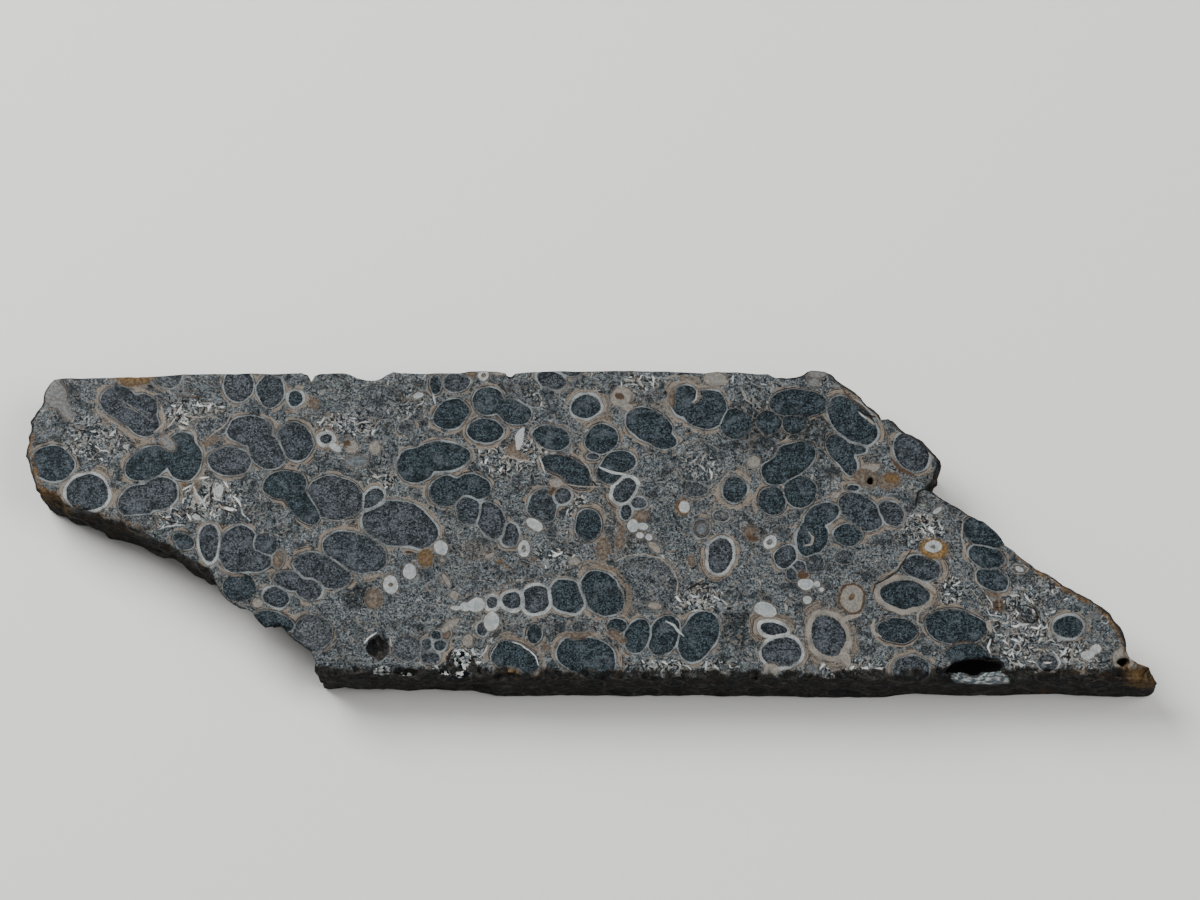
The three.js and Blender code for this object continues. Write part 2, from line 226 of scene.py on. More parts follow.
# Solid shell, fragments and patches, each laid over those before it: colour, x and y of the middle, half
# length, half width and turn.
Spot = namedtuple("Spot", "colour x y long wide turn", defaults=(0,))

SPOTS = [Spot(*row) for row in (
    ("grey", -65.5, 22.45, 1.0, 0.8), ("honey", -73.0, 24.8, 2.5, 1.7),
    ("pale", -85.7, 22.0, 2.5, 1.8, -62), ("pale", -84.0, 19.6, 2.2, 0.9, -60),
    ("pale", -67.2, 13.6, 1.5, 0.9, -38), ("tan", -60.6, 13.9, 1.1, 0.6, 30),
    ("tan", -49.0, -6.0, 1.2, 0.8, 70), ("cream", -52.05, -13.35, 0.95, 0.75),
    ("white", -31.1, -10.2, 1.5, 1.15, 90), ("tan", -31.1, -10.2, 0.4, 0.35),
    ("tan", -33.7, -12.65, 1.7, 1.3, 90), ("tan", -44.1, 20.2, 0.9, 0.7, 80),
    ("white", -40.4, 12.7, 1.0, 0.5, -35), ("cream", -37.7, 12.9, 0.95, 0.9),
    ("brown", -38.6, 13.4, 0.7, 0.5), ("grey", -37.1, 10.35, 1.9, 1.1),
    ("cream", -34.2, 12.7, 1.0, 0.85, 90), ("white", -10.1, -4.25, 1.35, 1.05, 90),
    ("grey", -10.1, -4.25, 0.6, 0.45, 90), ("tan", -8.5, -5.95, 0.35, 0.35),
    ("cream", -5.0, 6.8, 1.1, 0.85), ("brown", -5.6, 5.3, 0.7, 0.4, 60),
    ("white", -8.5, -0.3, 1.35, 0.85, -30), ("tan", -12.2, 12.6, 0.9, 0.6, 60),
    ("white", -16.9, 25.1, 0.95, 0.9), ("tan", -16.9, 25.1, 0.45, 0.4), ("cream", -14.2, 25.65, 0.9, 0.6),
    ("tan", -18.7, 25.5, 0.8, 0.6, 90), ("white", -27.3, 21.7, 0.75, 0.45),
    ("white", -23.2, -4.1, 1.1, 1.0, 90), ("honey", -25.6, -5.75, 1.6, 1.25, 90),
    ("white", -28.2, -8.1, 1.25, 1.1, 80), ("cream", -23.1, -6.2, 0.3, 0.3),
    ("cream", -22.5, -9.6, 1.2, 0.4, -60), ("cream", -21.0, -12.0, 0.7, 0.6),
    ("honey", -13.9, -6.4, 0.4, 0.35), ("honey", -12.9, -7.3, 0.3, 0.25),
    ("brown", 64.7, -13.7, 1.1, 1.0, 90), ("cream", -2.1, -6.5, 0.9, 0.6),
    ("cream", -15.6, -5.4, 0.9, 0.3, 30), ("white", -20.7, -14.1, 0.9, 0.4),
    ("white", -19.2, -13.9, 0.85, 0.8), ("white", -17.6, -13.7, 1.3, 1.2), ("cream", 10.7, -13.8, 1.1, 0.5),
    ("tan", 4.7, -18.9, 1.6, 0.6, -35), ("tan", -1.5, -18.6, 2.2, 0.4, 5),
    ("tan", -6.5, -20.6, 0.7, 0.5, 90), ("white", -15.1, -16.4, 1.5, 1.25, 70),
    ("cream", -18.9, -19.5, 1.1, 0.75, 80), ("tan", -22.3, -18.5, 0.6, 0.6),
    ("cream", -21.7, -17.0, 1.7, 0.6, 35), ("honey", -12.6, -24.8, 2.0, 0.8), ("tan", 8.5, 1.1, 1.2, 0.9),
    ("white", 7.3, -0.5, 1.2, 0.9, 90), ("white", 8.9, -0.6, 0.9, 0.65), ("white", 8.4, -2.15, 0.65, 0.5),
    ("cream", 10.6, -4.0, 1.3, 0.5, -50), ("white", 9.8, -2.3, 0.5, 0.5), ("cream", 20.7, 24.4, 1.8, 1.2),
    ("honey", 15.1, 2.8, 1.45, 1.25, 90), ("white", 15.3, 2.8, 1.1, 0.95, 90),
    ("brown", 26.1, -2.6, 0.9, 0.5, -20), ("tan", 25.7, -1.4, 1.0, 0.6, 30),
    ("grey", 18.0, -1.0, 1.05, 0.85, 80), ("white", 28.0, -14.5, 1.8, 1.2, -15),
    ("cream", 28.9, -24.3, 1.2, 1.0), ("tan", 16.4, -6.3, 0.9, 0.6, 90), ("tan", 2.6, -4.4, 1.8, 1.0, 90),
    ("tan", 5.3, -2.3, 2.2, 0.6, 85), ("cream", 5.4, 21.5, 1.9, 1.6, 60), ("brown", 5.2, 21.6, 0.8, 0.6),
    ("cream", 6.3, 19.6, 0.9, 0.7), ("cream", 45.2, 9.3, 1.6, 0.8, 20), ("pale", 37.0, 25.4, 1.6, 0.7, 10),
    ("pale", 36.4, 24.0, 0.9, 0.6), ("tan", 44.4, 7.5, 1.9, 1.5, -30), ("cream", 26.5, 10.3, 1.0, 0.95),
    ("tan", 48.2, 7.0, 1.9, 1.4, 20), ("honey", 48.6, 7.4, 1.1, 0.9), ("cream", 39.6, 4.7, 0.7, 0.5),
    ("white", 55.6, 2.3, 0.9, 0.4, 30), ("white", 29.0, -3.2, 1.25, 0.95, 60),
    ("grey", 29.0, -3.2, 0.6, 0.45, 60), ("brown", 34.1, -8.6, 0.8, 0.6),
    ("white", 34.5, -10.1, 1.25, 0.9, -10), ("white", 36.3, -10.3, 0.5, 0.5),
    ("white", 37.0, -11.2, 0.4, 0.4), ("white", 34.6, -12.7, 0.7, 0.7),
    ("brown", 41.75, -12.65, 2.5, 2.1, 90), ("cream", 41.75, -12.65, 2.2, 1.8, 90),
    ("honey", 41.6, -12.4, 0.7, 0.4, 60), ("cream", 84.2, -22.6, 1.8, 1.65), ("tan", 64.1, -12.0, 1.0, 0.3),
    ("white", 68.3, -7.6, 0.7, 0.45, -20), ("pale", 69.2, -7.25, 0.3, 0.3),
    ("white", 79.8, -20.9, 0.95, 0.8, 40), ("white", 78.5, -21.9, 1.1, 0.8, 20),
    ("grey", 79.9, -15.4, 0.8, 0.6), ("grey", 35.2, -24.3, 1.0, 0.7), ("amber", 54.8, -4.3, 2.3, 1.75, -20),
    ("white", 54.7, -3.9, 1.4, 1.05, 0), ("grey", 54.7, -4.0, 0.4, 0.3),
    ("white", -62.4, 1.2, 0.8, 0.4, -30), ("white", -58.7, 5.3, 1.2, 0.6, 80),
    ("honey", -64.4, 6.5, 0.5, 0.3, 50), ("tan", 13.5, 21.4, 0.5, 1.6, 0),
    ("tan", -62.6, 6.1, 1.0, 0.5, 60),
)]

# Lines of shell wall and thin flakes: colour, width and the points they run through.
Streak = namedtuple("Streak", "colour width points")

STREAKS = [Streak(*row) for row in (
    ("white", 1.3, [(-10.3, 15.9), (-10.9, 14.3), (-11.3, 12.6)]),
    ("tan", 1.5, [(-12.9, 12.3), (-11.3, 11.6), (-9.9, 11.0)]),
    ("cream", 0.5, [(-12.9, 11.4), (-9.3, 10.4)]), ("cream", 0.3, [(-8.4, 13.4), (-7.1, 11.7)]),
    ("white", 0.3, [(-24.9, 21.9), (-24.6, 20.4)]), ("white", 0.3, [(43.6, 18.7), (44.6, 17.6)]),
    ("cream", 0.5, [(44.6, 17.9), (45.9, 16.8)]),
    ("black", 0.3, [(43.4, 19.3), (44.6, 18.3), (46.2, 18.0)]),
    ("white", 0.35, [(12.2, -16.4), (13.6, -17.2), (15.3, -18.8)]),
    ("white", 0.45, [(1.9, 9.5), (4.0, 8.6), (6.2, 8.0)]),
    ("tan", 0.5, [(17.7, 22.9), (18.0, 21.4), (17.1, 20.4)]),
    ("white", 0.25, [(17.4, 22.6), (17.5, 21.3), (16.8, 20.5)]),
    ("cream", 0.4, [(17.3, -9.9), (18.6, -9.3)]), ("tan", 0.3, [(12.8, -4.9), (13.8, -4.6)]),
    ("cream", 0.4, [(35.0, -1.6), (35.8, -2.4), (35.3, -3.5), (34.2, -3.6)]),
    ("black", 0.45, [(54.1, 6.2), (52.7, 5.3), (52.2, 2.8)]),
    ("black", 0.3, [(15.1, -11.6), (16.8, -10.4), (18.6, -9.5)]),
    ("brown", 0.35, [(40.2, 24.6), (41.4, 22.2), (43.4, 20.4), (45.3, 18.4)]),
    ("tan", 0.6, [(40.0, 25.3), (41.9, 22.6), (44.0, 20.9)]),
    ("black", 0.3, [(51.5, -4.1), (49.2, -8.0), (45.6, -10.4), (45.0, -12.3)]),
    ("cream", 0.6, [(46.2, -18.9), (45.2, -18.4), (44.8, -17.3), (45.3, -16.2)]),
    ("brown", 0.25, [(56.0, -21.0), (57.4, -20.0), (59.6, -19.7), (61.8, -20.5)]),
    ("black", 0.5, [(-65.8, 22.4), (-65.3, 22.4)]),
    ("cream", 1.4, [(40.2, -21.4), (40.7, -22.5), (41.1, -23.6)]),
    ("cream", 0.8, [(39.8, -16.4), (41.4, -15.7), (43.0, -15.2)]),
    ("brown", 0.7, [(48.8, 10.6), (49.9, 9.0), (52.0, 8.0)]),
    ("cream", 0.2, [(-4.6, 6.7), (-1.6, 6.3), (1.6, 6.0)]),
    ("cream", 0.2, [(-1.2, 11.0), (0.2, 8.8), (1.5, 6.4)]),
    ("white", 0.25, [(-7.6, 11.2), (-7.2, 9.6), (-6.7, 8.3)]),
    ("cream", 0.1, [(-75.6, 21.3), (-73.9, 20.2), (-71.6, 18.9), (-69.8, 17.0)]),
    ("cream", 0.1, [(-75.4, 20.1), (-73.0, 19.4), (-70.9, 17.9)]),
    ("tan", 0.5, [(-57.6, -8.2), (-56.0, -8.8), (-54.4, -8.9)]),
    ("tan", 0.45, [(-0.4, -7.9), (2.0, -7.3), (4.6, -8.0), (6.0, -9.3)]),
    ("tan", 0.45, [(1.9, 18.0), (3.9, 17.7), (3.4, 19.2)]), ("cream", 0.35, [(12.4, 24.6), (14.6, 25.0)]),
    ("cream", 0.3, [(24.8, 23.0), (25.6, 21.0), (26.8, 20.0)]),
    ("tan", 0.4, [(53.4, -10.6), (54.8, -12.0), (54.2, -13.6)]),
    ("cream", 0.35, [(53.2, -13.6), (52.2, -15.4), (51.9, -17.0)]),
    ("cream", 0.25, [(61.1, -7.4), (61.5, -9.6), (62.7, -11.6)]),
    ("tan", 0.4, [(64.9, -11.4), (64.9, -14.6)]), ("cream", 0.3, [(59.6, 0.4), (59.4, -2.6), (60.2, -5.8)]),
    ("white", 0.4, [(-62.9, 6.3), (-62.3, 4.8), (-61.5, 3.7), (-60.7, 2.4)]),
    ("cream", 0.7, [(-62.3, 4.6), (-61.9, 3.2)]),
    ("cream", 0.2, [(-62.9, 6.2), (-62.6, 4.6), (-62.6, 3.0)]),
    ("black", 0.3, [(-62.9, 4.4), (-63.3, 3.2)]), ("black", 0.25, [(-61.9, 5.4), (-61.1, 4.2)]),
    ("bright", 0.22, [(-64.5, 5.6), (-63.3, 6.4)]), ("white", 0.2, [(-64.3, 5.1), (-63.3, 5.8)]),
    ("bright", 0.3, [(-61.9, 7.6), (-60.6, 7.9)]),
    ("cream", 0.22, [(-60.0, 5.2), (-59.7, 6.3), (-59.5, 7.4)]),
    ("black", 0.3, [(-60.2, 4.8), (-59.9, 6.8)]), ("white", 0.3, [(-59.5, 5.9), (-59.5, 3.9)]),
    ("bright", 0.3, [(-58.1, 7.1), (-57.3, 6.0)]),
    ("bright", 0.25, [(-56.7, 4.9), (-55.8, 4.1), (-55.1, 2.8)]),
    ("white", 0.22, [(-55.1, 2.6), (-54.7, 1.4), (-53.6, 0.5)]),
    ("white", 0.25, [(-57.3, 4.5), (-56.7, 4.4), (-56.3, 3.8)]),
    ("bright", 0.5, [(-57.7, 2.6), (-56.9, 2.3), (-55.9, 2.2)]),
    ("black", 0.3, [(-58.4, 3.0), (-57.3, 3.0), (-56.6, 2.7)]),
    ("black", 0.22, [(-58.8, 2.6), (-57.4, 2.0), (-56.5, 1.6)]),
    ("cream", 0.35, [(-58.8, 3.1), (-57.9, 2.3)]), ("brown", 0.3, [(-54.2, 1.7), (-53.5, 2.4)]),
    ("black", 0.3, [(-63.1, 1.3), (-62.5, 1.8), (-61.8, 1.5), (-61.0, 0.8)]),
    ("white", 0.25, [(-67.9, -1.2), (-66.9, -0.55), (-65.5, -0.3), (-64.0, -0.4)]),
    ("black", 0.35, [(-67.3, 0.5), (-65.3, 0.1)]), ("brown", 0.25, [(-68.7, 0.6), (-68.5, -1.4)]),
    ("brown", 0.2, [(-68.4, 0.7), (-66.8, 0.6)]), ("bright", 0.2, [(-60.0, 1.4), (-59.8, 2.0)]),
    ("cream", 0.35, [(-68.5, 19.8), (-68.0, 18.3), (-68.1, 17.2), (-68.5, 16.3), (-69.4, 15.2)]),
    ("tan", 0.2, [(-68.5, 21.4), (-67.8, 20.4)]),
    ("white", 0.22, [(-66.1, 18.0), (-66.8, 17.1), (-67.4, 16.1)]),
    ("cream", 0.15, [(-65.4, 17.1), (-66.3, 16.4)]), ("bright", 0.2, [(-65.3, 17.3), (-63.9, 16.7)]),
    ("black", 0.2, [(-65.3, 16.95), (-64.2, 16.4)]), ("black", 0.18, [(-64.6, 17.9), (-63.4, 17.8)]),
    ("cream", 0.2, [(-65.4, 18.0), (-64.5, 18.2), (-63.6, 18.0), (-62.7, 17.8), (-61.6, 17.8),
     (-60.1, 18.35)]), ("brown", 0.3, [(-64.7, 21.2), (-63.6, 21.3), (-62.2, 21.6)]),
    ("bright", 0.28, [(-66.9, 19.9), (-66.2, 19.8)]),
    ("white", 0.22, [(-63.6, 19.9), (-62.0, 19.8), (-60.3, 19.9)]),
    ("bright", 0.18, [(-59.4, 19.75), (-58.3, 19.85)]), ("black", 0.35, [(-59.1, 20.3), (-58.5, 20.3)]),
    ("black", 0.18, [(-59.2, 19.45), (-58.3, 19.3)]),
    ("cream", 0.4, [(-63.6, 15.6), (-63.0, 14.8), (-62.5, 13.7), (-62.2, 13.1)]),
    ("white", 0.45, [(-65.6, 16.5), (-64.6, 16.0)]),
    ("cream", 0.25, [(-57.4, 18.3), (-57.7, 17.2), (-58.8, 16.0), (-59.9, 15.2), (-61.0, 14.1)]),
    ("bright", 0.22, [(-35.0, -19.9), (-34.2, -18.9), (-33.2, -18.2)]),
    ("white", 0.2, [(-31.2, -19.0), (-30.9, -20.6)]),
    ("brown", 0.2, [(-20.2, -20.4), (-19.5, -20.9), (-18.9, -21.6), (-18.1, -22.3), (-17.1, -22.9)]),
    ("black", 0.55, [(-21.3, -21.1), (-21.8, -22.3), (-22.0, -23.2)]),
    ("cream", 0.15, [(-20.7, -20.7), (-21.3, -21.4), (-22.2, -22.8)]),
    ("white", 0.25, [(-15.9, -20.3), (-16.1, -21.2), (-16.6, -22.0), (-17.0, -22.4)]),
    ("white", 0.2, [(-15.2, -19.6), (-14.9, -19.0)]),
    ("bright", 0.2, [(-11.9, -19.8), (-10.5, -20.2), (-9.2, -21.0), (-8.1, -22.1), (-7.6, -23.6)]),
    ("white", 0.14, [(-14.2, -20.1), (-14.9, -21.0), (-15.2, -22.1), (-15.1, -23.4)]),
    ("tan", 0.45, [(-14.0, -19.5), (-12.2, -18.9), (-10.3, -19.3), (-8.4, -20.4), (-7.2, -22.2),
     (-6.9, -24.0)]), ("cream", 0.14, [(-12.8, -16.9), (-11.8, -16.75), (-10.8, -17.0)]),
    ("bright", 0.35, [(-5.7, -4.5), (-4.9, -5.2), (-4.1, -5.0)]),
    ("white", 0.35, [(-4.8, -4.2), (-4.0, -4.9)]),
    ("black", 0.35, [(-5.5, -4.0), (-4.4, -4.6), (-3.7, -4.3)]),
    ("cream", 0.18, [(51.0, -4.6), (49.0, -7.6), (46.0, -9.6)]),
    ("black", 0.25, [(64.0, -13.1), (65.4, -13.0)]), ("black", 0.25, [(64.1, -14.2), (65.4, -14.0)]),
    ("cream", 0.22, [(4.3, -6.6), (6.5, -5.6), (9.2, -5.2), (11.8, -6.0), (13.6, -7.8), (14.3, -10.0),
     (14.1, -12.6)]),
    ("tan", 0.16, [(-20.4, -12.7), (-13.0, -10.2), (-8.0, -9.0), (-4.0, -8.3), (0.2, -7.2)]),
    ("tan", 0.9, [(4.8, -9.0), (6.4, -11.0), (6.7, -13.2), (5.6, -15.0)]),
    ("white", 0.4, [(68.0, -16.7), (68.6, -16.95), (69.4, -16.8)]),
    ("bright", 0.4, [(69.8, -17.3), (70.8, -17.5), (71.3, -16.8)]),
    ("white", 0.2, [(71.0, -16.0), (71.1, -16.7)]), ("bright", 0.2, [(67.4, -14.6), (67.8, -15.2)]),
    ("black", 0.3, [(67.9, -13.7), (69.1, -13.6), (70.6, -14.6), (70.9, -15.9), (70.0, -16.6),
     (68.9, -16.4), (67.9, -15.7)]), ("white", 0.2, [(63.0, -12.2), (63.6, -13.1), (63.9, -14.3)]),
    ("cream", 0.2, [(60.7, -11.1), (61.4, -12.2), (62.3, -13.6)]),
    ("white", 0.2, [(63.0, -14.1), (63.3, -15.3), (64.4, -15.6), (65.2, -15.8)]),
    ("white", 0.18, [(66.0, -16.2), (66.3, -15.4)]),
    ("cream", 0.25, [(67.0, -15.3), (66.7, -15.9), (66.7, -17.3)]),
    ("white", 0.35, [(65.3, -16.8), (66.2, -16.6)]), ("black", 0.6, [(64.6, -16.7), (64.8, -17.0)]),
    ("cream", 0.75, [(63.0, -16.5), (63.4, -18.2)]),
    ("black", 0.25, [(62.9, -19.0), (63.3, -18.7), (63.6, -19.3), (63.7, -20.7)]),
    ("tan", 0.25, [(63.6, -21.5), (64.6, -22.0)]),
    ("bright", 0.32, [(63.3, -19.4), (63.1, -20.4), (63.4, -21.4)]),
    ("white", 0.4, [(67.8, -18.9), (68.8, -19.2)]), ("bright", 0.2, [(69.0, -18.3), (69.3, -18.5)]),
    ("bright", 0.22, [(66.1, -22.0), (66.6, -21.4), (66.8, -22.4)]),
    ("white", 0.18, [(66.6, -20.9), (67.3, -19.9), (68.0, -20.0), (68.3, -20.9), (67.4, -21.8),
     (66.7, -21.5), (66.6, -20.9)]), ("white", 0.22, [(67.5, -22.8), (68.0, -23.9), (68.7, -23.5)]),
    ("cream", 0.3, [(66.9, -23.0), (67.0, -24.1)]),
    ("tan", 0.2, [(70.3, -22.7), (70.9, -21.6), (72.0, -20.9), (73.0, -21.0)]),
    ("black", 0.2, [(71.5, -22.7), (73.1, -22.75)]),
    ("white", 0.2, [(73.2, -21.2), (73.9, -22.2), (74.3, -23.1), (73.7, -24.1)]),
    ("bright", 0.22, [(71.7, -23.15), (72.9, -23.1)]), ("bright", 0.35, [(70.4, -24.1), (70.6, -25.3)]),
    ("black", 0.35, [(71.4, -25.0), (72.3, -24.7)]),
    ("cream", 0.16, [(71.6, -25.7), (72.4, -24.9), (73.7, -24.5), (74.8, -24.6)]),
    ("cream", 0.18, [(72.3, -25.6), (73.4, -25.3), (74.5, -25.4)]),
    ("white", 0.3, [(76.4, -25.9), (77.1, -25.4)]),
    ("cream", 0.35, [(76.4, -20.9), (75.9, -22.1), (76.1, -23.0)]),
    ("black", 0.25, [(75.7, -21.5), (75.4, -23.1)]), ("white", 0.4, [(73.1, -15.0), (73.8, -14.6)]),
    ("bright", 0.2, [(75.3, -12.9), (76.0, -12.7)]), ("black", 0.2, [(75.2, -12.6), (75.8, -12.0)]),
    ("white", 0.15, [(73.1, -20.0), (74.0, -20.4)]), ("brown", 0.3, [(56.2, -5.4), (56.4, -6.3)]),
    ("white", 0.18, [(80.9, -16.6), (81.6, -16.9), (82.1, -16.3), (81.9, -15.5), (81.2, -15.3),
     (80.8, -15.8)]),
    ("cream", 0.14, [(66.8, -7.6), (67.5, -8.4), (69.0, -8.4), (69.7, -7.6), (69.0, -6.9), (67.6, -6.8),
     (66.8, -7.5)]),
)]

# Places where the stone is of another kind: x, y, reach along x and along y, and strength. Hash is broken
# shell, stain is brown where positive and dark where negative, crystal is white quartz with painted glints,
# ribs is shell with ribs, rust colours the edges and walls, and worn is where the front edge has crumbled,
# with painted shade in its holes and painted glints on its flecks.
ZONES = {
    "hash": [
        (17.6, 10.2, 4, 3.4, 0.7), (45.6, 16.9, 1.4, 1.2, 1), (-8, 21.5, 2.4, 2.4, 0.8),
        (-79, 14, 5.5, 4, 0.6), (-63, 18.8, 4.5, 2.6, 0.8), (-62, 3.5, 3.2, 4.2, 0.8),
        (-58, 4.5, 4, 3.6, 0.7), (-38.5, 16.5, 5, 2, 0.9), (-32.5, 7, 3, 1.8, 0.9),
        (18, -12.5, 4.2, 2.6, 0.9), (53, -1, 3.6, 3, 1), (68, -18, 5.5, 7, 0.65), (16, -24, 11, 1.4, 0.7),
        (-15, 10.5, 3, 3, 0.7), (-10, 11.5, 4, 3, 0.8), (-2, 3, 2, 2.4, 0.7), (73, -10, 3, 2.4, 0.5),
        (-20, -23, 4, 2.4, 1), (40, -24, 7, 1.3, 0.8), (57, -11, 2.5, 3.5, 0.8), (77, -22, 4, 2.6, 0.7),
        (27, 21, 4, 3, 0.2), (-5, -6, 4, 2, 0.7), (-67, 1, 3, 2, 0.7), (-82, 1.5, 3, 2, 0.6),
        (26, 24, 4, 1.2, 0.4), (-29, 20, 3, 3, 0.5), (8, 24, 4, 1.6, 0.8),
    ],
    "stain": [
        (-17, -4.5, 4.5, 2.2, 0.9), (-36.5, -12.5, 3, 2.4, -0.9), (-74, 14, 4, 3, 0.5),
        (-5.5, 4.5, 3, 3.4, 0.7), (2, 8, 4, 4, 0.6), (9, 20, 3, 4, 0.7), (5, 0, 4.5, 6, 0.7),
        (26, -2, 2.6, 2, 0.9), (22, 3, 5, 5, 0.4), (44, 8.5, 4, 3.4, 0.9), (-44, 17, 4, 2.4, 0.6),
        (38, -16.5, 6.5, 6, 0.5), (-65, 8, 5, 4, 0.4), (-15, -17, 4, 3, 0.6), (55.5, -4.4, 2.9, 2.3, 1.0),
        (87, -24.5, 3.5, 2.4, 1.0), (-49, -8, 5, 4, 0.4), (0, -17, 8, 2, 0.4), (76, -9, 6, 2, 0.3),
        (-86, 3, 4, 3, 1.0), (-73, 24, 4, 1.6, 0.7), (23.5, -18, 3.2, 4, -0.7), (30, 16.5, 9, 4.5, -0.9),
        (35, 12, 5, 4, -0.6), (63.8, -13, 2.4, 1.2, 0.9),
    ],
    "crystal": [
        (-19.8, -22.6, 1.8, 1.5, 1), (-19.4, -24.7, 1.5, 0.7, 1), (-22.4, -24.7, 1.1, 0.4, 1),
        (-32.3, -24.2, 1.9, 0.7, 1), (-28.6, -24.5, 1.2, 0.5, 0.9), (69, -22.2, 0.7, 0.6, 0.8),
    ],
    "ribs": [(61.8, -25.2, 4.9, 1.1, 1)],
    "rust": [
        (76, -12, 12, 14, 1), (88, -24, 5, 4, 1), (-88, 8, 5, 9, 0.9), (-79, -3, 12, 7, 0.6),
        (-73, 26, 5, 3, 0.8),
    ],
    "worn": [
        (-31, -26, 5, 1.6, 0.9), (39.5, -26, 4, 1.5, 0.9), (76, -26, 7, 1.3, 0.7), (8, -26, 14, 1.3, 0.55),
    ],
}

# Where each filling, spot and line lies on its own ramp of colours
FILL_TONES = {"dark": 0.05, "grey": 0.6, "faint": 1.0}
SPOT_TINTS = {
    "white": 0.0, "cream": 0.22, "pale": 0.32, "grey": 0.42, "tan": 0.62, "honey": 0.78, "amber": 0.88,
    "brown": 1.0,
}
# The bright lines are the brightest slivers, partly painted glints
STREAK_TINTS = {"bright": 0.0, "white": 0.2, "cream": 0.4, "tan": 0.6, "brown": 0.8, "black": 1.0}

# The lower face has the upper one's pattern turned round, but not these kinds of place
UPPER_ONLY = ("crystal", "ribs", "worn")

# The open whorl in the front edge, the angular pit and the two round holes: x, y, reach along x and along y,
# and how black the painted shade makes them inside
HOLLOWS = (
    (60.6, -23.7, 4.2, 1.15, 1), (-32.9, -20.2, 1.5, 1.7, 0.45), (44.6, 7.4, 0.8, 0.8, 1),
    (83.3, -22.8, 1.2, 0.9, 1),
)

# How the shells' outlines waver: height and length of the waves, and where x and y take them from the noise
WAVES = ((0.22, 1.9, 11.3, -7.9), (0.05, 0.7, 3.3, -1.9))

# The distance that stands for far from every shell, how far round a chamber and round a spot or line the
# pattern is worked out, and the height under which there are no shells, all in millimetres
FAR = 9.0
ROUND_CHAMBER = 4.0
ROUND_MARK = 1.5
LOWEST_SHELL = 2.0

# Between these distances from an outline, in millimetres, the mesh is cut fine enough to follow it. The
# rounds are how often long edges, and then bent ones, are halved at most.
OUTLINE_BANDS = {"gap": (-0.35, 1.0), "spot_gap": (-0.3, 0.45), "streak_gap": (-0.3, 0.3)}
LENGTH_ROUNDS = 9
OUTLINE_ROUNDS = 3

# How far from the sawn faces the broken relief starts, how far the chips reach from the front edge of the
# upper face, and the y in front of which that edge lies, all in millimetres
BROKEN_FADE = 0.7
CHIP_REACH = 1.3
FRONT_EDGE = -24.0

# Nearer than this, in metres, a point lies on a sawn face, two points are one, or an edge is closed up. A
# face with more than LEVEL of its normal upright is level, and level triangles within FLAT_ANGLE of each
# other are merged. Edges that turn by more than RIDGE_ANGLE, in radians, bound the sawn faces.
ON_FACE = 1e-6
SAME_POINT = 1e-7
SLIVER = 2e-6
LEVEL = 0.9999
FLAT_ANGLE = math.radians(0.5)
RIDGE_ANGLE = 0.3

# Thin curved edges of shell in the ground, each with a painted shadow as a dark line on one side: waves to a
# millimetre, half width, where the noise is taken from, and how much of them shows everywhere and how much
# more in broken shell
VEINS = ((0.7, 0.04, (3.0, 8.0, 2.0), 0.3, 0.7), (1.4, 0.055, (12.0, 1.0, 5.0), 0.35, 0.5))

# Slivers of shell in the ground: distance apart, half length and half width in millimetres, bow, where they
# are taken from, how few there are and how strongly they show
SLIVERS = (
    (0.75, 0.3, 0.075, 1.0, 11.0, 0.8, 0.5), (1.1, 0.5, 0.1, 1.6, 3.0, 0.92, 0.65),
    (1.6, 0.85, 0.13, 1.2, 37.0, 0.95, 0.9), (2.3, 1.2, 0.17, 0.7, 23.0, 0.95, 0.95),
)
FULL_TURN = 6.283


# Sizes and colours


def length(name, value, description):
    return bpy.props.FloatProperty(name=name, description=description, default=value, unit="LENGTH")


def angle(name, degrees, description):
    return bpy.props.FloatProperty(
        name=name, description=description, default=math.radians(degrees), subtype="ANGLE")


def colour(name, value, description):
    return bpy.props.FloatVectorProperty(
        name=name, description=description, subtype="COLOR", size=3, default=value)


class SlabSizes(bpy.types.PropertyGroup):
    """Sizes of the slab's mesh, in metres."""

    lattice: length("Lattice", 0.0032, "Spacing of the first cuts across the slab")
    upper_edge: length("Upper face edges", 0.0012, "Longest mesh edge on the upper face")
    least_edge: length("Finest edges", 0.0002, "Edges under this length are never halved for an outline")
    outline_error: length("Outline error", 0.000016, "How far a shell's outline may bend across a mesh edge")
    side_edge: length("Side edges", 0.0008, "Longest mesh edge on the walls")
    under_edge: length("Lower face edges", 0.0013, "Longest mesh edge on the lower face")
    lump: length("Lumps", 0.00045, "Height of the lumps on the broken sides")
    lump_spread: length("Lump spread", 0.0028, "Size of the lumps along the broken sides")
    grit: length("Grit", 0.00022, "Height of the grit on the broken sides")
    grit_spread: length("Grit spread", 0.0009, "Size of the grit along the broken sides")
    chip: length("Chips", 0.0022, "Depth of the chips along the front edge")
    chip_spread: length("Chip spread", 0.0016, "Size of the chips along the front edge")
    sharp: angle("Sharp edges", 38, "Edges steeper than this stay sharp")


